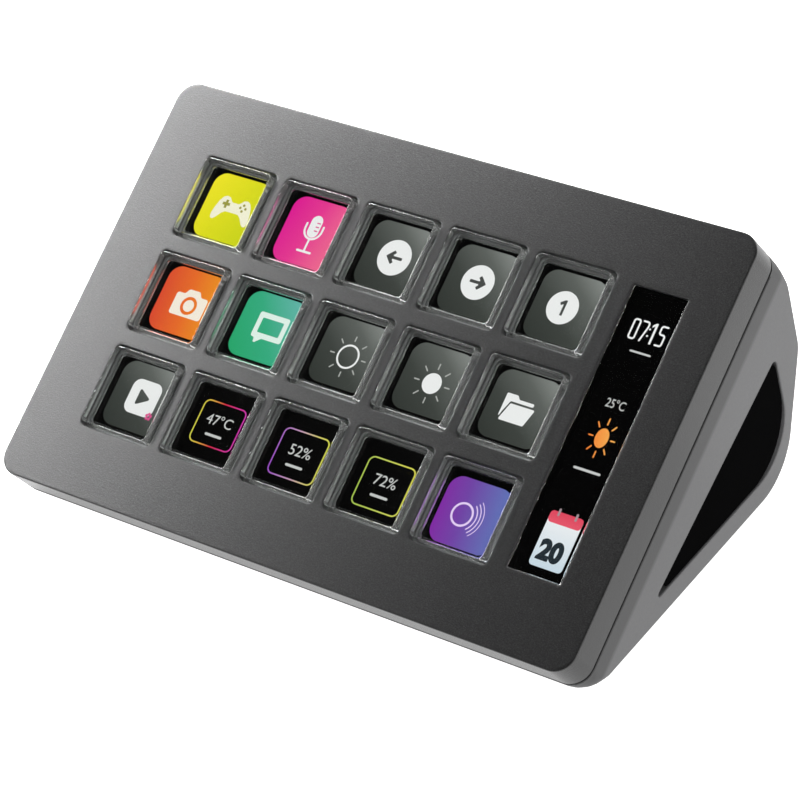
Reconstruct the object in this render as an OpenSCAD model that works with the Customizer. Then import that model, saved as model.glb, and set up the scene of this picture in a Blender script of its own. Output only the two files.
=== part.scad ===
// Desk macro keypad: a wedge housing with fifteen clear display keys
// and one upright information strip beside them.
// Frame: +X to the user's right, +Y away from the user, +Z up.
// The origin is at table level under the middle of the whole keypad.
// Panel coordinates, used by most modules: x to the right, y up the slope
// from the lower edge of the front cover, z outwards, 0 on the front face.

/* [Housing] */
// Width of the front cover
cover_w = 131.5; // [131.5:0.5:140]
// Height of the front cover, measured up its slope
cover_h = 84.1; // [84.1:0.1:85.5]
// Angle of the front cover above the table, degrees
tilt = 31.5; // [31:0.25:32]
// Corner radius of the front cover
cover_r = 4.2; // [3.5:0.1:6]
// Depth of the cover's side walls, down to the seam
lip = 7; // [6.9:0.05:7]
// Thickness of the cover's face
face_t = 1.5; // [1.4:0.05:1.5]
// Thickness of the cover's side walls
cover_wall = 1.8; // [1.6:0.1:1.8]
// Gap that shows as the seam between cover and rear shell
seam = 0.6; // [0.5:0.05:0.6]
// Wall thickness of the rear shell
shell_t = 2.2; // [2:0.1:2.4]
// Height of the cover's lower front edge above the shell's base
nose_h = 9; // [8.9:0.05:9]
// Draft of the rear shell's sides, degrees
side_draft = 1.2; // [1:0.1:1.2]
// Straight depth of the shell's sides before the draft begins
band_d = 11.5; // [11:0.1:11.5]
// How far the rubber feet stand below the base
foot_proud = 0.6; // [0.5:0.1:0.6]

/* [Keys] */
// Height of the middle row's centre above the cover's lower edge
row_mid = 42.1; // [41.95:0.05:42.15]
// Keys in a row
cols = 5; // [5]
// Rows of keys
rows = 3; // [3]
// Key pitch along a row
pitch_x = 19.3; // [19.3:0.05:19.4]
// Key pitch up the slope
pitch_y = 20.2; // [19.8:0.1:20.4]
// Distance of the first column's centre from the cover's left edge
first_col = 21.9; // [21.7:0.1:22.1]
// Side of a key cap
key_w = 15.8; // [15.6:0.1:16]
// Side of the square hole for a key
hole_w = 17; // [16.9:0.05:17.1]
// Height of a key above the cover's face
key_up = 1.2; // [1:0.1:1.5]
// Travel of a key
key_travel = 0.6; // [0.4:0.05:0.6]

/* [Display] */
// Width of the information strip's window
strip_w = 11.4; // [11:0.1:11.6]
// Height of the information strip's window
strip_h = 55.1; // [54:0.1:56]
// Distance of the strip's centre from the cover's left edge
strip_x = 117.1; // [117:0.1:117.3]
// Depth of the display surface below the cover's face
lcd_d = 3.7; // [3.7:0.05:3.8]
// Width of the display module
lcd_w = 118.5; // [118:0.1:118.7]
// Height of the display module
lcd_h = 67.1; // [66.8:0.1:67.1]

/* [USB port] */
// Height of the socket's axis above the shell's base
usb_h = 27.2; // [27:0.1:27.6]

/* [Hidden] */
$fn = 48;
e = 0.01;

ct = cos(tilt);
st = sin(tilt);
cov_mid = cover_h / 2;
shell_d = lip + seam;
// colours
c_cover = [0.27, 0.27, 0.275];
c_shell = [0.34, 0.34, 0.345];
c_black = [0.05, 0.05, 0.055];
c_clear = [0.8, 0.85, 0.88, 0.35];
c_board = [0.05, 0.22, 0.13];
c_steel = [0.7, 0.7, 0.72];
c_film = [0.75, 0.45, 0.12];

// ---- the shell's side profile: [y, z] from the cover's lower front edge, y to the back, z up ----
back_top = [cover_h * ct + 9.7 * st, cover_h * st - 9.7 * ct];
back_mid = [78.9 + (cover_h - 84.1) * ct, 15.2];
back_low = [71 + (cover_h - 84.1) * ct, -nose_h];
function pa(a, d) = [a * ct + d * st, a * st - d * ct];
// where the lower side wall reaches the base
nose_low = pa(0, nose_h / ct);
profile = [pa(0, shell_d), nose_low, back_low, back_mid, back_top, pa(cover_h, shell_d)];
profile_r = [0, 4.8, 12, 8, 10, 0];

// signed unit helpers
function unit(v) = v / norm(v);
function perp(v) = [v[1], -v[0]];
// corner i of a convex polygon, rounded with radius r in n steps; the polygon runs anticlockwise seen with y right, z up
function corner(p, i, r, n) =
    let (c = p[i], a = unit(p[(i + len(p) - 1) % len(p)] - c), b = unit(p[(i + 1) % len(p)] - c))
    r <= 0 ? [c] :
    let (half = acos(max(-1, min(1, a * b))) / 2, t = r / tan(half), m = c + unit(a + b) * r / sin(half),
         s0 = c + a * t - m, s1 = c + b * t - m,
         w = acos(max(-1, min(1, (s0 * s1) / (r * r)))), sgn = (s0[0] * s1[1] - s0[1] * s1[0]) > 0 ? 1 : -1)
    [for (k = [0:n]) let (q = sgn * w * k / n) m + [s0[0] * cos(q) - s0[1] * sin(q), s0[0] * sin(q) + s0[1] * cos(q)]];
function rounded(p, rr, n = 8) = [for (i = [0:len(p) - 1]) for (q = corner(p, i, rr[i], n)) q];
// intersection of the lines p+s*u and q+t*v
function meet(p, u, q, v) = let (dd = u[0] * v[1] - u[1] * v[0], w = q - p) p + u * ((w[0] * v[1] - w[1] * v[0]) / dd);
// convex anticlockwise polygon moved inwards, each edge by its own distance
function inset(p, ds) = [for (i = [0:len(p) - 1])
    let (n = len(p), p0 = p[(i + n - 1) % n], p1 = p[i], p2 = p[(i + 1) % n],
         u = unit(p1 - p0), v = unit(p2 - p1),
         nu = [-u[1], u[0]], nv = [-v[1], v[0]])
    meet(p1 + nu * ds[(i + n - 1) % n], u, p1 + nv * ds[i], v)];
// edges in order: nose wall, base, lower back, upper back, top wall, seam
inner_profile = inset(profile, [shell_t, 2.4, shell_t, shell_t, shell_t, -0.2]);
inner_r = [0, 0, 9.8, 5.8, 7, 0];

// ---- placing ----
y_back = max([for (q = rounded(profile, profile_r)) q[0]]);
org = [0, -y_back / 2, nose_h + foot_proud];
module panel() { translate(org) rotate([tilt, 0, 0]) children(); }
// profile polygon [y, z] extruded along x, from x0 to x1, in world directions
module along_x(x0, x1) { translate(org + [x0, 0, 0]) rotate([90, 0, 90]) linear_extrude(x1 - x0) children(); }
function key_x(c) = -cover_w / 2 + first_col + (c - 1) * pitch_x;
function key_y(r) = row_mid + (2 - r) * pitch_y;

// ---- small shapes ----
module rrect(w, h, r) {
    if (r <= 0) square([w, h], center = true);
    else {
        square([w - 2 * r, h], center = true);
        square([w, h - 2 * r], center = true);
        for (sx = [-1, 1], sy = [-1, 1]) translate([sx * (w / 2 - r), sy * (h / 2 - r)]) circle(r);
    }
}
module slab(w, h, r, z0, z1) { translate([0, 0, z0]) linear_extrude(z1 - z0) rrect(w, h, r); }
module box(x0, x1, y0, y1, z0, z1) { translate([x0, y0, z0]) cube([x1 - x0, y1 - y0, z1 - z0]); }
// pan-head screw along -z, head seat at z = 0, cross recess on top
module screw(r, len, head_r, head_h) {
    difference() {
        union() { cylinder(r = head_r, h = head_h); translate([0, 0, -len]) cylinder(r = r, h = len + e); }
        for (a = [0, 90]) rotate([0, 0, a]) translate([-head_r * 0.6, -0.2, head_h * 0.45]) cube([head_r * 1.2, 0.4, head_h]);
    }
}
// flat ribbon: a path of [p, q] points swept with thickness t, as a polygon
function ribbon_side(p, t, s) = [for (i = [0:len(p) - 1])
    let (n = len(p), a = i == 0 ? unit(p[1] - p[0]) : unit(p[i] - p[i - 1]), b = i == n - 1 ? a : unit(p[i + 1] - p[i]),
         na = [-a[1], a[0]], nb = [-b[1], b[0]], m = unit(na + nb), k = 1 / (m * na))
    p[i] + m * k * t / 2 * s];
module ribbon2d(p, t) {
    l = ribbon_side(p, t, 1);
    r = ribbon_side(p, t, -1);
    polygon(concat(l, [for (i = [len(r) - 1:-1:0]) r[i]]));
}

// ---- positions shared by several pieces, panel coordinates ----
boss_y = [5.6, cover_h - 5.6];
boss_x = [-58, -22, 22, 58];
lcd_x = 2.5;
lcd_y = row_mid;
carrier_z = -(lcd_d + 3.1);          // front face of the carrier
carrier_t = 1.8;
carrier_back = carrier_z - carrier_t;
pcb_z = carrier_back - 3;            // front face of the main board
pcb_t = 1.6;
pcb_back = pcb_z - pcb_t;
pcb_y = [24, 60];
pcb_x = [-39, 39];
pcb_holes = [[-36, 27], [36, 27], [-36, 57], [36, 57]];
post_z = -12.2;                      // where the shell's screw tubes meet the carrier's posts
posts = [[-50, 14], [50, 14], [-50, 43], [50, 43]];
mat_top = -2.85;
mat_bot = -3.1;
pad_bot = -(lcd_d - 0.1);            // back of the contact board
tail_y = row_mid - 7.6;              // middle of the contact board's flat cable

// ================= front cover =================
module front_cover() {
    color(c_cover) panel() difference() {
        union() {
            difference() {
                translate([0, cov_mid, 0]) slab(cover_w, cover_h, cover_r, -lip, 0);
                translate([0, cov_mid, 0]) slab(cover_w - 2 * cover_wall, cover_h - 2 * cover_wall, cover_r - cover_wall, -lip - 1, -face_t);
            }
            for (x = boss_x, y = boss_y) translate([x, y, carrier_z]) cylinder(r = 2.1, h = -carrier_z - face_t + 0.2);
        }
        for (c = [1:cols], r = [1:rows]) translate([key_x(c), key_y(r), 0]) slab(hole_w, hole_w, 1.2, -face_t - 1, 1);
        translate([-cover_w / 2 + strip_x, row_mid, 0]) slab(strip_w, strip_h, 0.4, -face_t - 1, 1);
        for (x = boss_x, y = boss_y) translate([x, y, carrier_z - 1]) cylinder(r = 0.87, h = 5.2);
    }
}

// clear lens of the strip: its step fills the cover's opening, its flange lies behind the face
module strip_window() {
    color(c_clear) panel() translate([-cover_w / 2 + strip_x, row_mid, 0]) {
        slab(strip_w + 2.4, strip_h + 3, 0.8, -face_t - 1.1, -face_t);
        slab(strip_w - 0.2, strip_h - 0.2, 0.3, -face_t - e, -0.15);
    }
}

// ================= keys =================
// solid clear cap: block, retaining flange under the cover, and a lens foot that reaches down to the display
module key_at(r, c) {
    color(c_clear) panel() translate([key_x(c), key_y(r), 0]) {
        slab(key_w, key_w, 0.9, -2.2, key_up);
        slab(18.5, 18.5, 1.4, -2.2, -1.65);
        slab(14.1, 14.1, 0.8, -2.95, -2.2);
    }
}

// silicone mat: a thin sheet with a window and a springy collar for each key
module key_membrane() {
    color([0.5, 0.5, 0.5]) panel() difference() {
        union() {
            box(-56, 44, row_mid - 31.5, row_mid + 31.5, mat_bot, mat_top);
            for (c = [1:cols], r = [1:rows]) translate([key_x(c), key_y(r), 0]) slab(17.4, 17.4, 1.6, mat_top - e, -2.2);
        }
        for (c = [1:cols], r = [1:rows]) translate([key_x(c), key_y(r), 0]) {
            slab(14.6, 14.6, 1, mat_bot - 1, 0);
            slab(15.6, 15.6, 1.2, mat_top, 0);
        }
    }
}

// switch board under the mat, one window for each key
module contact_board() {
    color(c_board) panel() difference() {
        box(-58, 44.4, row_mid - 32.8, row_mid + 32.8, pad_bot, mat_bot);
        for (c = [1:cols], r = [1:rows]) translate([key_x(c), key_y(r), 0]) slab(15, 15, 1, pad_bot - 1, 0);
    }
}

// flat cable from the switch board round the display's left side to the main board
module contact_board_ribbon() {
    color(c_film) panel() translate([0, tail_y + 4, 0]) rotate([90, 0, 0])
        linear_extrude(8) ribbon2d([[-57.4, pad_bot - 0.15], [-59.9, pad_bot - 0.15], [-60.4, pad_bot - 0.65], [-60.4, -9.4],
            [-59.9, -9.9], [-42.6, -9.9], [-41.4, -11.1], [-41.4, -13.5], [-40.8, -14.1], [-38.2, -14.1]], 0.16);
}

// ================= display =================
module display_panel() {
    color([0.03, 0.03, 0.035]) panel() translate([lcd_x, lcd_y, 0]) slab(lcd_w - 1, lcd_h - 1, 0.6, -lcd_d - 1.3, -lcd_d);
}
module display_backlight() {
    color([0.9, 0.92, 0.95]) panel() translate([lcd_x, lcd_y, 0]) slab(lcd_w - 1, lcd_h - 1, 0.6, -lcd_d - 2.8, -lcd_d - 1.3);
}
// sheet-steel tray that holds the glass and the backlight, with a notch for the ribbon
module display_tray() {
    color(c_steel) panel() difference() {
        translate([lcd_x, lcd_y, 0]) slab(lcd_w, lcd_h, 0.8, carrier_z, -lcd_d - 0.15);
        translate([lcd_x, lcd_y, 0]) slab(lcd_w - 0.8, lcd_h - 0.8, 0.6, carrier_z + 0.3, 0);
        box(-11, 11, lcd_y - lcd_h / 2 - 1, lcd_y - lcd_h / 2 + 2, -lcd_d - 2.6, 0);
    }
}
module display_ribbon() {
    y0 = lcd_y - lcd_h / 2;
    color(c_film) panel() translate([-10, 0, 0]) rotate([90, 0, 90])
        linear_extrude(20) ribbon2d([[y0 + 0.45, -lcd_d - 2.1], [y0 - 1, -lcd_d - 2.1], [y0 - 1.5, -lcd_d - 2.6], [y0 - 1.5, -9.4],
            [y0 - 1, -9.9], [20.6, -9.9], [21.6, -10.9], [21.6, -13.5], [22.2, -14.1], [24.9, -14.1]], 0.2);
}

// stiff plate behind the display: everything is screwed to it
module display_carrier() {
    w = cover_w - 2 * cover_wall - 3.4;
    h = cover_h - 2 * cover_wall - 3.4;
    color([0.16, 0.16, 0.17]) panel() difference() {
        union() {
            translate([0, cov_mid, 0]) slab(w, h, 1, carrier_back, carrier_z);
            // stiffening rim behind
            difference() {
                translate([0, cov_mid, 0]) slab(w, h, 1, carrier_back - 0.8, carrier_back + e);
                translate([0, cov_mid, 0]) slab(w - 2.4, h - 2.4, 0.6, carrier_back - 2, carrier_back);
            }
            for (p = pcb_holes) translate([p[0], p[1], pcb_z]) cylinder(r = 2.4, h = carrier_back - pcb_z + 0.5);
            for (p = posts) translate([p[0], p[1], post_z]) cylinder(r = 3, h = carrier_back - post_z + 0.5);
        }
        for (x = boss_x, y = boss_y) translate([x, y, carrier_back - 3]) cylinder(r = 1.1, h = carrier_t + 6);
        for (x = boss_x, y = boss_y) translate([x, y, carrier_back - 3]) cylinder(r = 2.3, h = 3);
        for (p = pcb_holes) translate([p[0], p[1], pcb_z - 1]) cylinder(r = 0.87, h = 4.2);
        for (p = posts) translate([p[0], p[1], post_z - 1]) cylinder(r = 1.07, h = 6);
        // ways through for the two ribbons
        box(-11, 11, 6.1, 7.6, carrier_back - 3, carrier_z + 1);
        box(-61.2, -59.6, tail_y - 5, tail_y + 5, carrier_back - 3, carrier_z + 1);
        // lightening windows
        for (x = [-30, 30]) translate([x, row_mid + 24.5, 0]) slab(40, 10, 2, carrier_back - 3, carrier_z + 1);
        for (x = [-24, 24]) translate([x, row_mid - 25.6, 0]) slab(20, 8, 2, carrier_back - 3, carrier_z + 1);
    }
}
module carrier_screws() {
    color(c_steel) panel() for (x = boss_x, y = boss_y) translate([x, y, carrier_back]) rotate([180, 0, 0]) screw(0.85, 5.2, 1.8, 1);
}

// ================= electronics =================
module main_board() {
    color(c_board) panel() difference() {
        box(pcb_x[0], pcb_x[1], pcb_y[0], pcb_y[1], pcb_back, pcb_z);
        for (p = pcb_holes) translate([p[0], p[1], pcb_back - 1]) cylinder(r = 1.1, h = pcb_t + 2);
    }
}
module main_board_screws() {
    color(c_steel) panel() for (p = pcb_holes) translate([p[0], p[1], pcb_back]) rotate([180, 0, 0]) screw(0.85, 4.6, 1.9, 1.3);
}
module microcontroller() {
    color(c_black) panel() {
        translate([-8, 44, 0]) slab(12, 12, 0.3, pcb_back - 1.3, pcb_back - 0.1);
        for (k = [0:3]) translate([-8, 44, 0]) rotate([0, 0, k * 90]) for (i = [-10:10]) translate([i * 0.5 - 0.11, 5.9, pcb_back - 0.6]) {
            cube([0.22, 0.6, 0.15]);
            translate([0, 0.45, 0]) cube([0.22, 0.15, 0.6]);
            translate([0, 0.45, 0.45]) cube([0.22, 0.6, 0.15]);
        }
    }
}
module memory_chip() {
    color(c_black) panel() translate([12, 46, 0]) slab(10, 8, 0.2, pcb_back - 1, pcb_back);
}
module voltage_regulator() {
    color(c_black) panel() { box(24, 30.5, 38, 41.5, pcb_back - 1.6, pcb_back); box(25.5, 29, 41.4, 43.2, pcb_back - 1, pcb_back); }
}
module crystal() {
    color(c_steel) panel() translate([2.6, 40, 0]) slab(3.2, 2.5, 0.4, pcb_back - 0.8, pcb_back);
}
module board_capacitors() {
    color([0.72, 0.58, 0.4]) panel() {
        for (i = [0:4]) box(-22 + i * 2.6, -20.4 + i * 2.6, 33.4, 34.2, pcb_back - 0.8, pcb_back);
        for (i = [0:3]) box(20 + i * 3, 21.8 + i * 3, 33, 34, pcb_back - 0.9, pcb_back);
        for (i = [0:2]) box(-20.6, -19, 42 + i * 2.4, 42.8 + i * 2.4, pcb_back - 0.8, pcb_back);
    }
}
// ribbon sockets: display and switch board on the main board, and both ends of the usb ribbon
module zif(w) { box(-w / 2, w / 2, 0, 4.2, -1.4, 0); }
usb_sock_y = pcb_y[1] - 5.2;
module ribbon_connectors() {
    color([0.86, 0.84, 0.78]) {
        panel() difference() {
            translate([0, 25, pcb_back]) zif(24);
            box(-10.2, 10.2, 24, 27, -14.24, -13.96);
        }
        panel() difference() {
            translate([-38.1, tail_y, pcb_back]) rotate([0, 0, -90]) zif(10.2);
            box(-39, -36.2, tail_y - 4.2, tail_y + 4.2, -14.24, -13.96);
        }
        panel() difference() {
            translate([0, usb_sock_y + 4.2, pcb_back]) rotate([0, 0, 180]) zif(13);
            box(-4.7, 4.7, usb_sock_y + 2.2, usb_sock_y + 5, -14.24, -13.96);
        }
        translate(org) difference() {
            translate([0, 0, usb_top]) box(-6, 6, 63.6, 66.6, 0, 1.4);
            box(-4.7, 4.7, 63, 65.6, usb_top + 0.56, usb_top + 0.84);
        }
    }
}

// ================= usb =================
usb_axis = usb_h - nose_h;                    // above the cover's lower front edge
usb_wall_y = back_mid[0] + (back_top[0] - back_mid[0]) * (usb_axis - back_mid[1]) / (back_top[1] - back_mid[1]);
usb_top = usb_axis - 1.6;                     // upper face of the usb board
usb_bot = usb_top - 1;
usb_holes = [[-9.2, 66.5], [9.2, 66.5]];
module stadium(w, h) { square([w - h, h], center = true); for (s = [-1, 1]) translate([s * (w - h) / 2, 0]) circle(h / 2); }
module usb_board() {
    color(c_board) translate(org) difference() {
        box(-12, 12, 63, usb_wall_y - shell_t - 0.3, usb_bot, usb_top);
        for (p = usb_holes) translate([p[0], p[1], usb_bot - 1]) cylinder(r = 1.1, h = 3);
    }
}
// steel receptacle with its contact tongue
module usb_c_socket() {
    color(c_steel) translate(org + [0, usb_wall_y - 0.3, usb_axis]) rotate([90, 0, 0]) {
        difference() {
            linear_extrude(7.4) stadium(8.94, 3.18);
            translate([0, 0, -1]) linear_extrude(7.4) stadium(8.34, 2.56);
        }
        translate([-3.3, -0.35, 0.6]) cube([6.6, 0.7, 6]);
    }
}
module usb_board_screws() {
    color(c_steel) translate(org) for (p = usb_holes) translate([p[0], p[1], usb_top]) screw(0.85, 4.4, 1.7, 1.2);
}
// flat cable from the main board to the usb board, in the shell's hollow
usb_entry = pa(usb_sock_y + 2.9, 14.1);
module usb_ribbon() {
    p1 = usb_entry + 3.2 * [ct, st];
    color(c_film) along_x(-4.5, 4.5)
        ribbon2d([usb_entry, p1, p1 + [0.9, 0.2], p1 + [1.6, -0.3], [61.4, usb_top + 1.6], [62, usb_top + 0.95], [62.8, usb_top + 0.7], [65.2, usb_top + 0.7]], 0.16);
}

// ================= rear shell =================
// the two drafted sides, seen along the panel: half width w2 in the band, then narrowing
module drafted(w2) {
    panel() translate([0, -60, 0]) rotate([90, 0, 180]) linear_extrude(220)
        polygon([[w2, 1], [w2, -band_d], [w2 - (75 - band_d) * tan(side_draft), -75],
                 [-w2 + (75 - band_d) * tan(side_draft), -75], [-w2, -band_d], [-w2, 1]]);
}
// outer form, its surfaces moved inwards by o where a looser copy is needed
module shell_form(o = 0) {
    w2 = cover_w / 2 - o;
    intersection() {
        along_x(-cover_w / 2 - 1, cover_w / 2 + 1) polygon(rounded(o == 0 ? profile : inset(profile, [o, o, o, o, o, 0]), [for (q = profile_r) max(0, q - o)]));
        drafted(w2);
        panel() translate([0, cov_mid, 0]) slab(2 * w2, cover_h - 2 * o, cover_r - o, -90, 1);
    }
}
module shell_hollow() {
    w2 = cover_w / 2 - shell_t;
    intersection() {
        along_x(-cover_w / 2, cover_w / 2) polygon(rounded(inner_profile, inner_r));
        drafted(w2);
    }
}
// outline of the side inset, [y, z] from the cover's lower front edge
inset_pts = [[26.4, -4.4], [73.4, -4.5], [71.1, 18.05]];
inset_rr = [1.2, 12, 1.9];
inset_line = rounded(inset_pts, inset_rr, 10);
function grown(p, d) = inset(p, [for (i = [0:len(p) - 1]) -d]);
feet = [[-44, 21.4], [44, 21.4], [-44, 55], [44, 55]];
module rear_shell() {
    color(c_shell) difference() {
        union() {
            difference() {
                shell_form();
                shell_hollow();
            }
            // tongue inside the cover's walls
            panel() difference() {
                translate([0, cov_mid, 0]) slab(cover_w - 2 * cover_wall - 0.4, cover_h - 2 * cover_wall - 0.4, cover_r - cover_wall - 0.2, -shell_d - 1.6, -5.2);
                translate([0, cov_mid, 0]) slab(cover_w - 2 * cover_wall - 2.8, cover_h - 2 * cover_wall - 2.8, cover_r - cover_wall - 1.4, -shell_d - 2.6, 0);
            }
            // tubes for the housing screws, cut to the shell's form
            intersection() {
                panel() for (p = posts) translate([p[0], p[1], -60]) cylinder(r = 3.6, h = 60 + post_z);
                shell_form();
            }
            // shelf for the usb board, on two gussets
            translate(org) {
                box(-12.5, 12.5, 63, usb_wall_y - 1, usb_bot - 4.4, usb_bot - 2.4);
                for (p = usb_holes) translate([p[0], p[1], usb_bot - 2.6]) cylinder(r = 2.2, h = 2.6);
            }
            for (x = [-11.5, 11.5]) along_x(x - 0.8, x + 0.8)
                polygon([[64, usb_bot - 4], [usb_wall_y - 4.4, usb_bot - 9.5], [usb_wall_y - 3, usb_bot - 8], [usb_wall_y - 1.4, usb_bot - 4]]);
        }
        for (p = posts) panel() translate([p[0], p[1], -80]) cylinder(r = 2.4, h = 80 + post_z - 2);
        for (p = posts) panel() translate([p[0], p[1], post_z - 4]) cylinder(r = 1.35, h = 8);
        // socket opening in the back
        translate(org + [0, usb_wall_y + 5, usb_axis]) rotate([90, 0, 0]) linear_extrude(10) stadium(9.5, 3.8);
        for (p = usb_holes) translate(org + [p[0], p[1], usb_bot - 5]) cylinder(r = 0.87, h = 6);
        // side openings for the insets
        for (s = [-1, 1]) along_x(s > 0 ? 60 : -70, s > 0 ? 70 : -60) polygon(inset_line);
        // shallow seats for the feet
        for (f = feet) translate(org + [f[0], f[1], -nose_h - 1]) linear_extrude(1.7) rrect(28.4, 11.4, 5.4);
    }
}
// black plug that closes a side opening: flange inside, face just below the side, hollow behind
module side_inset(s) {
    color(c_black) difference() {
        union() {
            intersection() {
                along_x(s > 0 ? 62 : -67, s > 0 ? 67 : -62) polygon(rounded(grown(inset_pts, -0.12), [1.1, 11.9, 1.8], 10));
                drafted(cover_w / 2 - 0.25);
            }
            along_x(s > 0 ? 60.9 : -62.1, s > 0 ? 62.1 : -60.9) intersection() {
                polygon(rounded(grown(inset_pts, 1.3), [2.5, 13.3, 3.2], 10));
                polygon(rounded(inset(profile, [shell_t + 0.25, 2.65, shell_t + 0.25, shell_t + 0.25, shell_t + 0.25, 0]), inner_r));
            }
        }
        along_x(s > 0 ? 60 : -63.1, s > 0 ? 63.1 : -60) polygon(rounded(grown(inset_pts, -1.9), [0.5, 10.1, 0.5], 10));
    }
}
module side_inset_left() { side_inset(-1); }
module side_inset_right() { side_inset(1); }

module housing_screws() {
    color(c_steel) panel() for (p = posts) translate([p[0], p[1], post_z - 2]) rotate([180, 0, 0]) screw(1.05, 6.4, 2.2, 1.6);
}
module rubber_feet() {
    color([0.04, 0.04, 0.04]) translate(org) for (f = feet) translate([f[0], f[1], -nose_h - foot_proud]) linear_extrude(foot_proud + 0.7) rrect(28, 11, 5.2);
}

front_cover();
strip_window();
key_at(1, 1);  // key_row1_col1
key_at(1, 2);  // key_row1_col2
key_at(1, 3);  // key_row1_col3
key_at(1, 4);  // key_row1_col4
key_at(1, 5);  // key_row1_col5
key_at(2, 1);  // key_row2_col1
key_at(2, 2);  // key_row2_col2
key_at(2, 3);  // key_row2_col3
key_at(2, 4);  // key_row2_col4
key_at(2, 5);  // key_row2_col5
key_at(3, 1);  // key_row3_col1
key_at(3, 2);  // key_row3_col2
key_at(3, 3);  // key_row3_col3
key_at(3, 4);  // key_row3_col4
key_at(3, 5);  // key_row3_col5
key_membrane();
contact_board();
contact_board_ribbon();
display_panel();
display_backlight();
display_tray();
display_ribbon();
display_carrier();
carrier_screws();
main_board();
main_board_screws();
microcontroller();
memory_chip();
voltage_regulator();
crystal();
board_capacitors();
ribbon_connectors();
usb_board();
usb_c_socket();
usb_board_screws();
usb_ribbon();
rear_shell();
side_inset_left();
side_inset_right();
housing_screws();
rubber_feet();
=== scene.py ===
import bpy
import bmesh
import math
from mathutils import Matrix, Vector, geometry


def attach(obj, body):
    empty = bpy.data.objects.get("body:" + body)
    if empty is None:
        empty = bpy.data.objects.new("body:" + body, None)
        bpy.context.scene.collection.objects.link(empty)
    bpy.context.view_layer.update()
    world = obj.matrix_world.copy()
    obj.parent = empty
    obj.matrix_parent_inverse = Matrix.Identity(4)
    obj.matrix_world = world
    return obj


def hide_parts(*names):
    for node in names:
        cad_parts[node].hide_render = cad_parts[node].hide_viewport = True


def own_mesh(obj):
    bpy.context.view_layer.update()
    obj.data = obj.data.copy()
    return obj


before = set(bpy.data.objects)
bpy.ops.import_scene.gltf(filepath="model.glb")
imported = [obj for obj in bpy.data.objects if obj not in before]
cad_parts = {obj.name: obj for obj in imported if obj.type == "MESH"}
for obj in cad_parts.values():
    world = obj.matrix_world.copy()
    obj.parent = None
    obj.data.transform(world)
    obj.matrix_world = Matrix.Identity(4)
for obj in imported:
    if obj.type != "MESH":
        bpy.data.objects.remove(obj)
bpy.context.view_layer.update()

BODY = "base"

# ------------------------------------------------------------------ sizes, in mm, as the frame has them
TILT = math.radians(31.5)
CT, ST = math.cos(TILT), math.sin(TILT)
COVER_W, COVER_H, COVER_R = 131.5, 84.1, 4.2
LIP, FACE_T, COVER_WALL, SEAM = 7.0, 1.5, 1.8, 0.6
SHELL_T, NOSE_H, BAND_D, DRAFT, FOOT = 2.2, 9.0, 11.5, math.radians(1.2), 0.6
ROW_MID, PX, PY, FIRST = 42.1, 19.3, 20.2, 21.9
KEY_W, HOLE_W, KEY_UP = 15.8, 17.0, 1.2
STRIP_W, STRIP_H, STRIP_X = 11.4, 55.1, 117.1 - 131.5 / 2
LCD_N = -3.7
USB_AXIS = 27.2 - NOSE_H
SHELL_D = LIP + SEAM
MID = COVER_H / 2


def key_x(c):
    return -COVER_W / 2 + FIRST + (c - 1) * PX


def key_y(r):
    return ROW_MID + (2 - r) * PY


def v_unit(a):
    l = math.hypot(a[0], a[1])
    return (a[0] / l, a[1] / l)


def pa(a, d):
    return (a * CT + d * ST, a * ST - d * CT)


def meet(p, u, q, v):
    dd = u[0] * v[1] - u[1] * v[0]
    w = (q[0] - p[0], q[1] - p[1])
    k = (w[0] * v[1] - w[1] * v[0]) / dd
    return (p[0] + u[0] * k, p[1] + u[1] * k)


def inset(p, ds):
    out = []
    n = len(p)
    for i in range(n):
        p0, p1, p2 = p[i - 1], p[i], p[(i + 1) % n]
        u, v = v_unit((p1[0] - p0[0], p1[1] - p0[1])), v_unit((p2[0] - p1[0], p2[1] - p1[1]))
        d0, d1 = ds[i - 1], ds[i]
        a = (p1[0] - u[1] * d0, p1[1] + u[0] * d0)
        b = (p1[0] - v[1] * d1, p1[1] + v[0] * d1)
        out.append(meet(a, u, b, v))
    return out


def corner(p, i, r, n):
    """Points and inward normals of corner i, rounded with radius r."""
    c, p0, p2 = p[i], p[i - 1], p[(i + 1) % len(p)]
    a, b = v_unit((p0[0] - c[0], p0[1] - c[1])), v_unit((p2[0] - c[0], p2[1] - c[1]))
    half = math.acos(max(-1, min(1, a[0] * b[0] + a[1] * b[1]))) / 2
    k = v_unit((a[0] + b[0], a[1] + b[1]))
    m = (c[0] + k[0] * r / math.sin(half), c[1] + k[1] * r / math.sin(half))
    t = r / math.tan(half)
    s0 = (c[0] + a[0] * t - m[0], c[1] + a[1] * t - m[1])
    s1 = (c[0] + b[0] * t - m[0], c[1] + b[1] * t - m[1])
    w = math.acos(max(-1, min(1, (s0[0] * s1[0] + s0[1] * s1[1]) / (r * r))))
    sgn = 1 if s0[0] * s1[1] - s0[1] * s1[0] > 0 else -1
    out = []
    for j in range(n + 1):
        q = sgn * w * j / n
        x, y = s0[0] * math.cos(q) - s0[1] * math.sin(q), s0[0] * math.sin(q) + s0[1] * math.cos(q)
        out.append(((m[0] + x, m[1] + y), (-x / r, -y / r)))
    return out


def rounded(p, rr_, n):
    return [q for i in range(len(p)) for q, _ in corner(p, i, rr_[i], n)]


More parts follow.
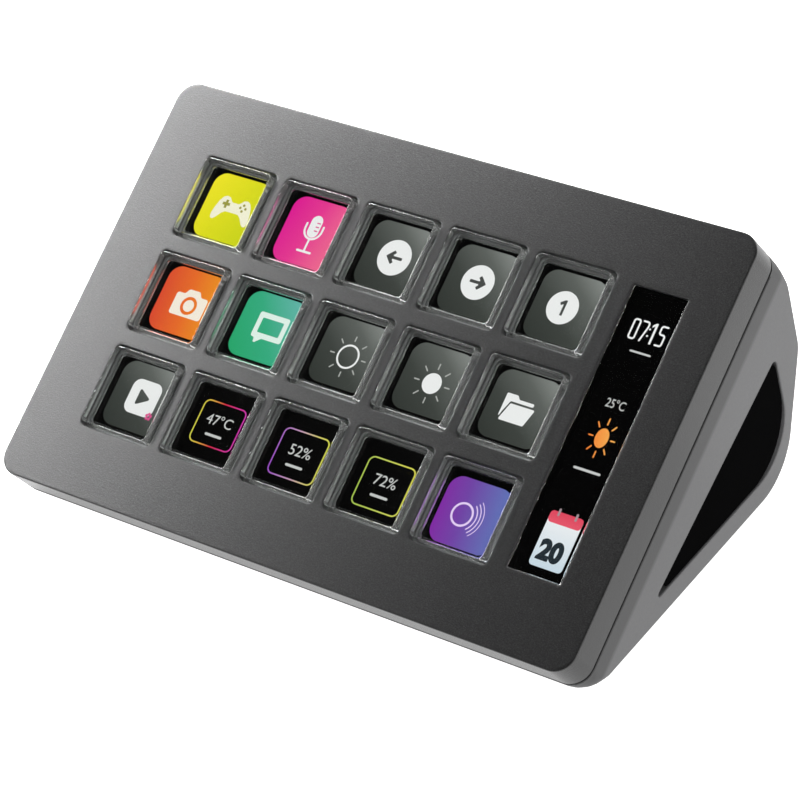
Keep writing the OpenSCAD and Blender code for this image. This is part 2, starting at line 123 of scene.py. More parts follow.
BACK_TOP = (COVER_H * CT + 9.7 * ST, COVER_H * ST - 9.7 * CT)
BACK_MID = (78.9, 15.2)
BACK_LOW = (71.0, -NOSE_H)
NOSE_LOW = pa(0, NOSE_H / CT)
PROFILE = [pa(0, SHELL_D), NOSE_LOW, BACK_LOW, BACK_MID, BACK_TOP, pa(COVER_H, SHELL_D)]
PROFILE_R = {1: 4.8, 2: 12.0, 3: 8.0, 4: 10.0}
Y_BACK = max(q[0] for i in (1, 2, 3, 4) for q, _ in corner(PROFILE, i, PROFILE_R[i], 40))
ORG = Vector((0, -Y_BACK / 2, NOSE_H + FOOT))


def pw(x, a, n):
    """Panel coordinates to the frame, in mm."""
    return Vector((x, ORG.y + a * CT - n * ST, ORG.z + a * ST + n * CT))


def sw(x, y, z):
    """Side coordinates (x, y, z from the cover's lower front edge) to the frame, in mm."""
    return Vector((x, ORG.y + y, ORG.z + z))


def depth(y, z):
    """Depth under the front face of a side point."""
    return y * ST - z * CT


def rr(w, h, r, cx=0.0, cy=0.0, seg=6):
    """A rounded rectangle, anticlockwise."""
    r = max(r, 0.02)
    out = []
    for k, (sx, sy) in enumerate(((1, -1), (1, 1), (-1, 1), (-1, -1))):
        mx, my = cx + sx * (w / 2 - r), cy + sy * (h / 2 - r)
        for j in range(seg + 1):
            q = math.radians(-90 + 90 * k + 90 * j / seg)
            out.append((mx + r * math.cos(q), my + r * math.sin(q)))
    return out


def disc(r, cx=0.0, cy=0.0, n=40, turn=0.0):
    return [(cx + r * math.cos(turn + 2 * math.pi * k / n), cy + r * math.sin(turn + 2 * math.pi * k / n)) for k in range(n)]


def stadium(w, h, cx=0.0, cy=0.0, seg=12):
    out = []
    for s, a0 in ((1, -90), (-1, 90)):
        for j in range(seg + 1):
            q = math.radians(a0 + 180 * j / seg)
            out.append((cx + s * (w - h) / 2 + h / 2 * math.cos(q), cy + h / 2 * math.sin(q)))
    return out


def inside(p, poly):
    x, y, hit = p[0], p[1], False
    n = len(poly)
    for i in range(n):
        (x0, y0), (x1, y1) = poly[i - 1], poly[i]
        if (y0 > y) != (y1 > y) and x < (x1 - x0) * (y - y0) / (y1 - y0) + x0:
            hit = not hit
    return hit


class Shape:
    """Vertices in mm and faces, put together ring by ring."""

    def __init__(self):
        self.v, self.f = [], []

    def ring(self, pts):
        i = len(self.v)
        self.v += [Vector(p) for p in pts]
        return list(range(i, i + len(pts)))

    def band(self, a, b, closed=True):
        n = len(a)
        for i in range(n if closed else n - 1):
            j = (i + 1) % n
            self.f.append((a[i], a[j], b[j], b[i]))

    def bands(self, rings):
        for a, b in zip(rings, rings[1:]):
            self.band(a, b)

    def fill(self, a):
        self.f.append(tuple(a))

    def plane(self, outer, holes, flat, extra=()):
        """Triangles between the outer ring and its holes. flat turns a vertex number into its place on the plane; extra holds pairs of vertices that an edge must join."""
        loops = [list(outer)] + [list(h) for h in holes]
        ids = [i for l in loops for i in l]
        at = {}
        for i in ids:
            at.setdefault(i, len(at))
        pts = [None] * len(at)
        for i, k in at.items():
            pts[k] = Vector(flat(i))
        edges = []
        for l in loops:
            edges += [(at[l[k - 1]], at[l[k]]) for k in range(len(l))]
        edges += [(at[a], at[b]) for a, b in extra]
        back = {k: i for i, k in at.items()}
        vs, _, fs, ov, _, _ = geometry.delaunay_2d_cdt(pts, edges, [], 0, 1e-7)
        ring2d = [[tuple(flat(i)) for i in l] for l in loops]
        for f in fs:
            c = sum((vs[k] for k in f), Vector((0, 0))) / len(f)
            if inside(c, ring2d[0]) and not any(inside(c, h) for h in ring2d[1:]):
                self.f.append(tuple(back[ov[k][0]] for k in f))


def finish_mesh(name, shape, material, body=BODY, stands_for=(), sharp=28.0, weighted=True, merge=2e-7):
    me = bpy.data.meshes.new(name)
    me.from_pydata([tuple(p * 0.001) for p in shape.v], [], shape.f)
    bm = bmesh.new()
    bm.from_mesh(me)
    bmesh.ops.remove_doubles(bm, verts=bm.verts, dist=merge)
    bmesh.ops.dissolve_degenerate(bm, dist=merge, edges=bm.edges)
    loose = [v for v in bm.verts if not v.link_faces]
    if loose:
        bmesh.ops.delete(bm, geom=loose, context="VERTS")
    bmesh.ops.recalc_face_normals(bm, faces=bm.faces)
    lim = math.radians(sharp)
    for f in bm.faces:
        f.smooth = True
    for e in bm.edges:
        e.smooth = len(e.link_faces) == 2 and e.calc_face_angle() < lim
    bm.to_mesh(me)
    bm.free()
    me.materials.append(material)
    ob = bpy.data.objects.new(name, me)
    bpy.context.scene.collection.objects.link(ob)
    if weighted:
        w = ob.modifiers.new("even_normals", "WEIGHTED_NORMAL")
        w.keep_sharp = True
        w.weight = 90
        w.mode = "FACE_AREA"
    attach(ob, body)
    if stands_for:
        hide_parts(*stands_for)
    return ob


# ------------------------------------------------------------------ materials
def srgb(*c):
    """0-255 display values to linear."""
    out = []
    for x in c:
        x /= 255.0
        out.append(x / 12.92 if x <= 0.04045 else ((x + 0.055) / 1.055) ** 2.4)
    return tuple(out)


def nodes_of(name):
    m = bpy.data.materials.new(name)
    m.use_nodes = True
    nt = m.node_tree
    nt.nodes.clear()
    out = nt.nodes.new("ShaderNodeOutputMaterial")
    return m, nt, out


def put(node, key, value):
    node.inputs[key].default_value = value


def solid(name, color, rough=0.5, metallic=0.0, spec=0.5, grain=2600.0, bump=0.02, tone=0.05, rough_var=0.05, ior=1.5, coat=0.0,
          speck=0.0, streak=None, coarse=90.0, detail=3.0, bump_dist=0.0001, fleck=0.0):
    """A moulded, painted or metal surface: colour, grain in bump, mottled tone and uneven gloss."""
    m, nt, out = nodes_of(name)
    N = nt.nodes.new
    L = nt.links.new
    b = N("ShaderNodeBsdfPrincipled")
    L(b.outputs[0], out.inputs["Surface"])
    tc = N("ShaderNodeTexCoord")
    src = tc.outputs["Object"]
    if streak:
        mp = N("ShaderNodeMapping")
        mp.inputs["Scale"].default_value = streak
        L(src, mp.inputs["Vector"])
        src = mp.outputs["Vector"]
    fine = N("ShaderNodeTexNoise")
    put(fine, "Scale", grain); put(fine, "Detail", detail); put(fine, "Roughness", 0.6)
    L(src, fine.inputs["Vector"])
    big = N("ShaderNodeTexNoise")
    put(big, "Scale", coarse); put(big, "Detail", 4.0)
    L(tc.outputs["Object"], big.inputs["Vector"])
    mix = N("ShaderNodeMix"); mix.data_type = "RGBA"
    c0 = tuple(max(0.0, x * (1 - tone)) for x in color[:3]) + (1,)
    c1 = tuple(min(1.0, x * (1 + tone)) for x in color[:3]) + (1,)
    mix.inputs[6].default_value = c0
    mix.inputs[7].default_value = c1
    L(big.outputs["Fac"], mix.inputs[0])
    col = mix.outputs[2]
    if fleck:
        fr = N("ShaderNodeMapRange")
        put(fr, "From Min", 0.36); put(fr, "From Max", 0.64); put(fr, "To Min", 1 - fleck); put(fr, "To Max", 1 + fleck)
        L(fine.outputs["Fac"], fr.inputs["Value"])
        vm = N("ShaderNodeVectorMath"); vm.operation = "SCALE"
        L(col, vm.inputs[0])
        L(fr.outputs[0], vm.inputs["Scale"])
        col = vm.outputs[0]
    if speck:
        mr = N("ShaderNodeMapRange")
        put(mr, "From Min", 0.62); put(mr, "From Max", 0.8); put(mr, "To Min", 0.0); put(mr, "To Max", speck)
        L(fine.outputs["Fac"], mr.inputs["Value"])
        mx = N("ShaderNodeMix"); mx.data_type = "RGBA"
        L(mr.outputs[0], mx.inputs[0])
        L(col, mx.inputs[6])
        mx.inputs[7].default_value = tuple(min(1.0, x * 2.4 + 0.02) for x in color[:3]) + (1,)
        col = mx.outputs[2]
    L(col, b.inputs["Base Color"])
    rm = N("ShaderNodeMapRange")
    put(rm, "From Min", 0.3); put(rm, "From Max", 0.7)
    put(rm, "To Min", max(0.02, rough - rough_var)); put(rm, "To Max", min(1.0, rough + rough_var))
    L(fine.outputs["Fac"], rm.inputs["Value"])
    L(rm.outputs[0], b.inputs["Roughness"])
    bp = N("ShaderNodeBump")
    put(bp, "Strength", bump); put(bp, "Distance", bump_dist)
    L(fine.outputs["Fac"], bp.inputs["Height"])
    L(bp.outputs[0], b.inputs["Normal"])
    put(b, "Metallic", metallic)
    put(b, "IOR", ior)
    put(b, "Specular IOR Level", spec)
    if coat:
        put(b, "Coat Weight", coat)
    return m


def clear(name, tint=(0.96, 0.975, 0.97), rough=0.02, ior=1.49, walls=0.0, haze=0.0):
    """Polished clear acrylic. Lamps shine through it to what lies behind."""
    m, nt, out = nodes_of(name)
    N = nt.nodes.new
    L = nt.links.new
    b = N("ShaderNodeBsdfPrincipled")
    put(b, "Base Color", tint + (1,)); put(b, "IOR", ior); put(b, "Transmission Weight", 1.0)
    tc = N("ShaderNodeTexCoord")
    nz = N("ShaderNodeTexNoise")
    put(nz, "Scale", 500.0); put(nz, "Detail", 2.0)
    L(tc.outputs["Object"], nz.inputs["Vector"])
    mr = N("ShaderNodeMapRange")
    put(mr, "To Min", rough * 0.4); put(mr, "To Max", rough * 1.6)
    L(nz.outputs["Fac"], mr.inputs["Value"])
    gloss = mr.outputs[0]
    if walls:
        # the side walls are satin, the top is polished; the walls also carry painted shade in their tint
        ge = N("ShaderNodeNewGeometry")
        dt = N("ShaderNodeVectorMath"); dt.operation = "DOT_PRODUCT"
        L(ge.outputs["True Normal"], dt.inputs[0])
        dt.inputs[1].default_value = tuple((pw(0, 0, 1) - pw(0, 0, 0)).normalized())
        ab = N("ShaderNodeMath"); ab.operation = "ABSOLUTE"
        L(dt.outputs["Value"], ab.inputs[0])
        wr = N("ShaderNodeMapRange")
        put(wr, "From Min", 0.05); put(wr, "From Max", 0.97); put(wr, "To Min", walls); put(wr, "To Max", 0.0)
        L(ab.outputs[0], wr.inputs["Value"])
        mxm = N("ShaderNodeMath"); mxm.operation = "MAXIMUM"
        L(gloss, mxm.inputs[0])
        L(wr.outputs[0], mxm.inputs[1])
        gloss = mxm.outputs[0]
        # painted shade: the walls' tint is pulled towards (0.75, 0.76, 0.75) the more they face sideways, so they read
        # darker than the top
        mc = N("ShaderNodeMix"); mc.data_type = "RGBA"
        wall_shade_mask = N("ShaderNodeMapRange")
        put(wall_shade_mask, "From Min", 0.1); put(wall_shade_mask, "From Max", 0.9)
        L(ab.outputs[0], wall_shade_mask.inputs["Value"])
        L(wall_shade_mask.outputs[0], mc.inputs[0])
        mc.inputs[6].default_value = (0.75, 0.76, 0.75, 1)
        mc.inputs[7].default_value = tint + (1,)
        L(mc.outputs[2], b.inputs["Base Color"])
        hz = N("ShaderNodeMapRange")
        put(hz, "From Min", 0.3); put(hz, "From Max", 0.9); put(hz, "To Min", 1 - haze); put(hz, "To Max", 1.0)
        L(ab.outputs[0], hz.inputs["Value"])
        L(hz.outputs[0], b.inputs["Transmission Weight"])
    L(gloss, b.inputs["Roughness"])
    lp = N("ShaderNodeLightPath")
    tr = N("ShaderNodeBsdfTransparent")
    tr.inputs[0].default_value = (0.9, 0.92, 0.91, 1)
    mx = N("ShaderNodeMixShader")
    L(lp.outputs["Is Shadow Ray"], mx.inputs[0])
    L(b.outputs[0], mx.inputs[1])
    L(tr.outputs[0], mx.inputs[2])
    L(mx.outputs[0], out.inputs["Surface"])
    return m


def glow(name, stops, direction=(0, 1), centre=(0, 0), span=10.0, strength=1.0, mottle=0.02):
    """A lit patch of the display: colours run across it along a panel direction."""
    m, nt, out = nodes_of(name)
    N = nt.nodes.new
    L = nt.links.new
    b = N("ShaderNodeBsdfPrincipled")
    put(b, "Base Color", (0.0, 0.0, 0.0, 1)); put(b, "Roughness", 0.2); put(b, "Specular IOR Level", 0.004)
    L(b.outputs[0], out.inputs["Surface"])
    tc = N("ShaderNodeTexCoord")
    dx, da = v_unit(direction)
    w = (pw(dx, da, 0) - pw(0, 0, 0)) * 1.0
    c = pw(centre[0], centre[1], LCD_N) * 0.001
    k = 1000.0 / span
    dot = N("ShaderNodeVectorMath"); dot.operation = "DOT_PRODUCT"
    L(tc.outputs["Object"], dot.inputs[0])
    dot.inputs[1].default_value = tuple(w * k)
    add = N("ShaderNodeMath"); add.operation = "ADD"
    L(dot.outputs["Value"], add.inputs[0])
    add.inputs[1].default_value = 0.5 - k * c.dot(w)
    nz = N("ShaderNodeTexNoise")
    put(nz, "Scale", 260.0)
    L(tc.outputs["Object"], nz.inputs["Vector"])
    ma = N("ShaderNodeMath"); ma.operation = "MULTIPLY_ADD"
    L(nz.outputs["Fac"], ma.inputs[0])
    ma.inputs[1].default_value = mottle
    L(add.outputs[0], ma.inputs[2])
    ramp = N("ShaderNodeValToRGB")
    L(ma.outputs[0], ramp.inputs[0])
    el = ramp.color_ramp.elements
    while len(el) < len(stops):
        el.new(0.5)
    for e, (at, col) in zip(el, stops):
        e.position = at
        e.color = srgb(*col) + (1,)
    L(ramp.outputs[0], b.inputs["Emission Color"])
    put(b, "Emission Strength", strength)
    return m


M_COVER = solid("cover_plastic", (0.013, 0.013, 0.0133), rough=0.325, spec=0.5, grain=3800.0, bump=0.7, tone=0.05, rough_var=0.035, speck=0.4, coarse=70.0, bump_dist=0.000055, fleck=0.5, detail=2.0)
M_SHELL = solid("shell_plastic", (0.1, 0.1, 0.102), rough=0.5, spec=0.5, grain=2600.0, bump=0.4, tone=0.04, rough_var=0.06, speck=0.1, coarse=60.0, bump_dist=0.00004, fleck=0.1)
# painted shade: the band next to the seam is painted a shade darker than the drafted sides, in place of the shading its
# different facing would give
nt = M_SHELL.node_tree
b = next(n for n in nt.nodes if n.type == "BSDF_PRINCIPLED")
was = b.inputs["Base Color"].links[0].from_socket
tc = nt.nodes.new("ShaderNodeTexCoord")
dt = nt.nodes.new("ShaderNodeVectorMath"); dt.operation = "DOT_PRODUCT"
nt.links.new(tc.outputs["Object"], dt.inputs[0])
dt.inputs[1].default_value = (0.0, 1000 * ST, -1000 * CT)
# painted shade: the shell's colour is scaled down to 0.4 on the band and rises to full across the crease
mr = nt.nodes.new("ShaderNodeMapRange")
edge = ORG.y * ST - ORG.z * CT + BAND_D
put(mr, "From Min", edge - 0.6); put(mr, "From Max", edge + 0.6); put(mr, "To Min", 0.4); put(mr, "To Max", 1.0)
nt.links.new(dt.outputs["Value"], mr.inputs["Value"])
vm = nt.nodes.new("ShaderNodeVectorMath"); vm.operation = "SCALE"
nt.links.new(was, vm.inputs[0])
nt.links.new(mr.outputs[0], vm.inputs["Scale"])
nt.links.new(vm.outputs[0], b.inputs["Base Color"])
# near black: the side insets' own colour; on the rear shell's tongue it is painted shade in the seam
M_BLACK_AND_SEAM_SHADE = solid("black_plastic", (0.0012, 0.0012, 0.0013), rough=0.9, spec=0.01, grain=2400.0, bump=0.25, tone=0.2, bump_dist=0.00004)
M_INNER = solid("inner_plastic", (0.012, 0.012, 0.013), spec=0.2, rough=0.6, grain=1800.0, bump=0.3, tone=0.1, bump_dist=0.00005)
M_MAT = solid("grey_silicone", (0.14, 0.14, 0.14), rough=0.72, spec=0.3, grain=1400.0, bump=0.25, tone=0.08, bump_dist=0.00005)
M_PCB = solid("circuit_board", (0.012, 0.07, 0.032), rough=0.35, spec=0.5, grain=900.0, bump=0.3, tone=0.25, coarse=300.0, bump_dist=0.00004)
M_STEEL = solid("steel", (0.56, 0.56, 0.57), rough=0.32, metallic=1.0, grain=700.0, bump=0.12, tone=0.06, streak=(0.08, 1.0, 1.0), bump_dist=0.00003)
M_TRAY = solid("tray_steel", (0.5, 0.5, 0.51), rough=0.38, metallic=1.0, grain=500.0, bump=0.12, tone=0.08, streak=(0.05, 1.0, 1.0), bump_dist=0.00003)
M_FILM = solid("ribbon_film", (0.42, 0.17, 0.03), rough=0.3, spec=0.5, grain=300.0, bump=0.2, tone=0.2, streak=(6.0, 0.2, 0.2), coat=0.3, bump_dist=0.00003)
M_CHIP = solid("chip_black", (0.012, 0.012, 0.013), rough=0.55, grain=5000.0, bump=0.3, tone=0.15, bump_dist=0.00002)
M_CERAMIC = solid("ceramic", (0.35, 0.24, 0.14), rough=0.5, grain=3000.0, bump=0.2, tone=0.12, bump_dist=0.00002)
M_CONN = solid("connector_plastic", (0.68, 0.64, 0.54), rough=0.5, grain=2500.0, bump=0.2, tone=0.05, bump_dist=0.00003)
M_RUBBER = solid("black_rubber", (0.011, 0.011, 0.011), rough=0.8, spec=0.3, grain=1600.0, bump=0.5, tone=0.2, speck=0.2, bump_dist=0.00005)
M_LCD = solid("display_glass", (0.0001, 0.0001, 0.00012), rough=0.12, spec=0.02, grain=1500.0, bump=0.01, tone=0.2, rough_var=0.03, bump_dist=0.00001)
M_LIGHT = solid("light_guide", (0.8, 0.82, 0.84), rough=0.4, grain=1200.0, bump=0.1, tone=0.03, bump_dist=0.00003)
M_KEY = clear("clear_acrylic", rough=0.015, walls=0.08, haze=0.11)
M_WIN = clear("window_acrylic", tint=(0.97, 0.98, 0.98), rough=0.03)

BY_NODE = {
    "key_membrane": M_MAT, "contact_board": M_PCB, "contact_board_ribbon": M_FILM, "display_panel": M_LCD, "display_backlight": M_LIGHT,
    "display_tray": M_TRAY, "display_ribbon": M_FILM, "display_carrier": M_INNER, "carrier_screws": M_STEEL, "main_board": M_PCB,
    "main_board_screws": M_STEEL, "microcontroller": M_CHIP, "memory_chip": M_CHIP, "voltage_regulator": M_CHIP, "crystal": M_STEEL,
    "board_capacitors": M_CERAMIC, "ribbon_connectors": M_CONN, "usb_board": M_PCB, "usb_c_socket": M_STEEL, "usb_board_screws": M_STEEL,
    "usb_ribbon": M_FILM, "housing_screws": M_STEEL,
}
for node, m in BY_NODE.items():
    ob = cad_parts[node]
    if not ob.material_slots:
        ob.data.materials.append(m)
    for s in ob.material_slots:
        s.material = m


# ------------------------------------------------------------------ front cover
def build_cover():
    s = Shape()
    rf, rh, seg = 0.3, 0.26, 10

    def outl(o, n):
        return s.ring([pw(x, a, n) for x, a in rr(COVER_W - 2 * o, COVER_H - 2 * o, COVER_R - o, 0, MID, seg)])

    def inner(o, n):
        w = COVER_WALL + o
        return s.ring([pw(x, a, n) for x, a in rr(COVER_W - 2 * w, COVER_H - 2 * w, COVER_R - w, 0, MID, seg)])

    chain = [inner(-0.12, -LIP), outl(0.12, -LIP), outl(0.035, -LIP + 0.035), outl(0, -LIP + 0.12), outl(0, -LIP / 2)]
    steps = 5
    for k in range(steps + 1):
        q = math.radians(90 * k / steps)
        chain.append(outl(rf * (1 - math.cos(q)), -rf * (1 - math.sin(q))))
    chain.append(outl(rf + 0.45, 0))
    s.bands(chain)
    top = chain[-1]
    # inner side: bottom chamfer, wall, small fillet to the face's back
    inn = [chain[0], inner(0, -LIP + 0.12), inner(0, -FACE_T - 0.4), inner(0.12, -FACE_T - 0.12), inner(0.4, -FACE_T)]
    s.bands(inn)
    under = inn[-1]
    holes_top, holes_bot = [], []

    def opening(cx, cy, w, h, r):
        o = -rh - 0.35
        rings = [s.ring([pw(x, a, 0) for x, a in rr(w - 2 * o, h - 2 * o, r - o, cx, cy, 8)])]
        for k in range(4):
            q = math.radians(90 * k / 3)
            o = -rh * (1 - math.sin(q))
            rings.append(s.ring([pw(x, a, -rh * (1 - math.cos(q))) for x, a in rr(w - 2 * o, h - 2 * o, r - o, cx, cy, 8)]))
        rings.append(s.ring([pw(x, a, -FACE_T + 0.1) for x, a in rr(w, h, r, cx, cy, 8)]))
        rings.append(s.ring([pw(x, a, -FACE_T) for x, a in rr(w + 0.2, h + 0.2, r + 0.1, cx, cy, 8)]))
        s.bands(rings)
        holes_top.append(rings[0])
        holes_bot.append(rings[-1])

    for c in range(1, 6):
        for r in range(1, 4):
            opening(key_x(c), key_y(r), HOLE_W, HOLE_W, 1.2)
    opening(STRIP_X, ROW_MID, STRIP_W, STRIP_H, 0.4)

    def flat(i):
        p = s.v[i] - ORG
        return (p.x, p.y * CT + p.z * ST)

    s.plane(top, holes_top, flat)
    s.plane(under, holes_bot, flat)
    # screw bosses under the face
    for x in (-58, -22, 22, 58):
        for a in (5.6, COVER_H - 5.6):
            rings = [s.ring([pw(px, pa_, n) for px, pa_ in disc(r_, x, a, 24)])
                     for r_, n in ((2.1, -FACE_T + 0.2), (2.1, -6.65), (1.95, -6.8), (1.0, -6.8), (0.87, -6.67), (0.87, -2.6))]
            s.bands(rings)
            s.fill(rings[0])
            s.fill(rings[-1])
    return s


finish_mesh("front_cover_shell", build_cover(), M_COVER, stands_for=("front_cover",))


# ------------------------------------------------------------------ strip window
def slab_shape(w, h, r, n0, n1, cx, cy, edge=0.12, seg=6):
    s = Shape()
    prof = [(edge, n0), (0, n0 + edge), (0, n1 - edge), (edge * 0.3, n1 - edge * 0.3), (edge, n1)]
    rings = [s.ring([pw(x, a, n) for x, a in rr(w - 2 * o, h - 2 * o, r - o, cx, cy, seg)]) for o, n in prof]
    s.bands(rings)
    s.fill(rings[0])
    s.fill(rings[-1])
    return s


def build_window():
    s = Shape()
    prof = [(-1.08, 0.8, -2.6), (-1.2, 0.8, -2.48), (-1.2, 0.8, -1.58), (-1.12, 0.8, -1.5), (0.1, 0.3, -1.5)]
    for k in range(5):
        q = math.radians(90 * k / 4)
        prof.append((0.1 + 0.22 * (1 - math.cos(q)), 0.3 - 0.2 * (1 - math.cos(q)), -0.37 + 0.22 * math.sin(q)))
    rings = [s.ring([pw(x, a, n) for x, a in rr(STRIP_W - 2 * o, STRIP_H - 2 * o, r, STRIP_X, ROW_MID, 6)]) for o, r, n in prof]
    s.bands(rings)
    s.fill(rings[0])
    s.fill(rings[-1])
    return s


finish_mesh("strip_window_lens", build_window(), M_WIN, stands_for=("strip_window",), sharp=35)


# ------------------------------------------------------------------ keys
def build_key(r, c):
    s = Shape()
    cx, cy = key_x(c), key_y(r)
    b = 0.22
    prof = []
    for k in range(7):
        q = math.radians(90 * k / 6)
        prof.append((KEY_W - 2 * b * (1 - math.sin(q)), 0.9 - b * (1 - math.sin(q)) * 0.9, KEY_UP - b * (1 - math.cos(q))))
    prof += [(KEY_W, 0.9, -1.45), (KEY_W + 0.12, 0.95, -1.59), (KEY_W + 0.4, 1.05, -1.65), (18.3, 1.4, -1.65), (18.44, 1.4, -1.69), (18.5, 1.4, -1.8),
             (18.5, 1.4, -2.05), (18.44, 1.4, -2.16), (18.3, 1.4, -2.2), (14.1, 0.8, -2.2), (14.1, 0.8, -2.87), (14.06, 0.78, -2.93), (13.9, 0.7, -2.95)]
    rings = [s.ring([pw(x, a, n) for x, a in rr(w, w, rad, cx, cy, 8)]) for w, rad, n in prof]
    s.bands(rings)
    s.fill(rings[0])
    s.fill(rings[-1])
    return s


for r in (1, 2, 3):
    for c in (1, 2, 3, 4, 5):
        nm = "key_row%d_col%d" % (r, c)
        finish_mesh("cap_row%d_col%d" % (r, c), build_key(r, c), M_KEY, body=nm, stands_for=(nm,), sharp=35)


# ------------------------------------------------------------------ rear shell
INSET_PTS = [(26.4, -4.4), (73.4, -4.5), (71.1, 18.05)]
INSET_RR = [1.2, 12, 1.9]


def grown(p, d):
    return inset(p, [-d] * len(p))


def tri_outline(d, rad, n=12):
    """The side opening's outline moved outwards by d."""
    return rounded(grown(INSET_PTS, d), rad, n)


def half_width(y, z):
    d = depth(y, z)
    return COVER_W / 2 - max(0.0, d - BAND_D) * math.tan(DRAFT)


def smooth(t):
    t = max(0.0, min(1.0, t))
    return t * t * (3 - 2 * t)


RIM = 0.16


def shell_columns():
    """The outer profile from the front seam round to the back seam: (point, inward normal, side fillet radius, inner thickness)."""
    pts = [(pa(0, SHELL_D + RIM), (CT, ST))]
    out = []
    arcs = {i: corner(PROFILE, i, PROFILE_R[i], {1: 12, 2: 16, 3: 8, 4: 10}[i]) for i in (1, 2, 3, 4)}
    pts += arcs[1]
    base0, base1 = arcs[1][-1][0], arcs[2][0][0]
    for y in (base0[0] + 1, base0[0] + 2, base0[0] + 3):
        pts.append(((y, base0[1]), (0, 1)))
    pts += arcs[2] + arcs[3]
    a, b = arcs[3][-1][0], arcs[4][0][0]
    nrm = arcs[4][0][1]
    ln = math.hypot(b[0] - a[0], b[1] - a[1])
    for k in (7, 6, 5, 4, 3, 2, 1):
        t = 1 - k / ln
        pts.append(((a[0] + (b[0] - a[0]) * t, a[1] + (b[1] - a[1]) * t), nrm))
    pts += arcs[4]
    pts.append((pa(COVER_H, SHELL_D + RIM), (-CT, -ST)))
    # running length
    run = [0.0]
    for (p, _), (q, _) in zip(pts, pts[1:]):
        run.append(run[-1] + math.hypot(q[0] - p[0], q[1] - p[1]))
    i_nose = 1
    r_nose = run[i_nose]
    i_top = len(pts) - 2
    r_top = run[i_top]
    for k, (p, n) in enumerate(pts):
        if run[k] <= r_nose:
            rho = 4.2
        elif run[k] < r_nose + 9:
            rho = 4.2 + (0.4 - 4.2) * smooth((run[k] - r_nose) / 9)
        elif run[k] > r_top:
            rho = 4.2
        elif run[k] > r_top - 9:
            rho = 4.2 + (0.4 - 4.2) * smooth((r_top - run[k]) / 9)
        else:
            rho = 0.4
        out.append((p, n, rho))
    return out


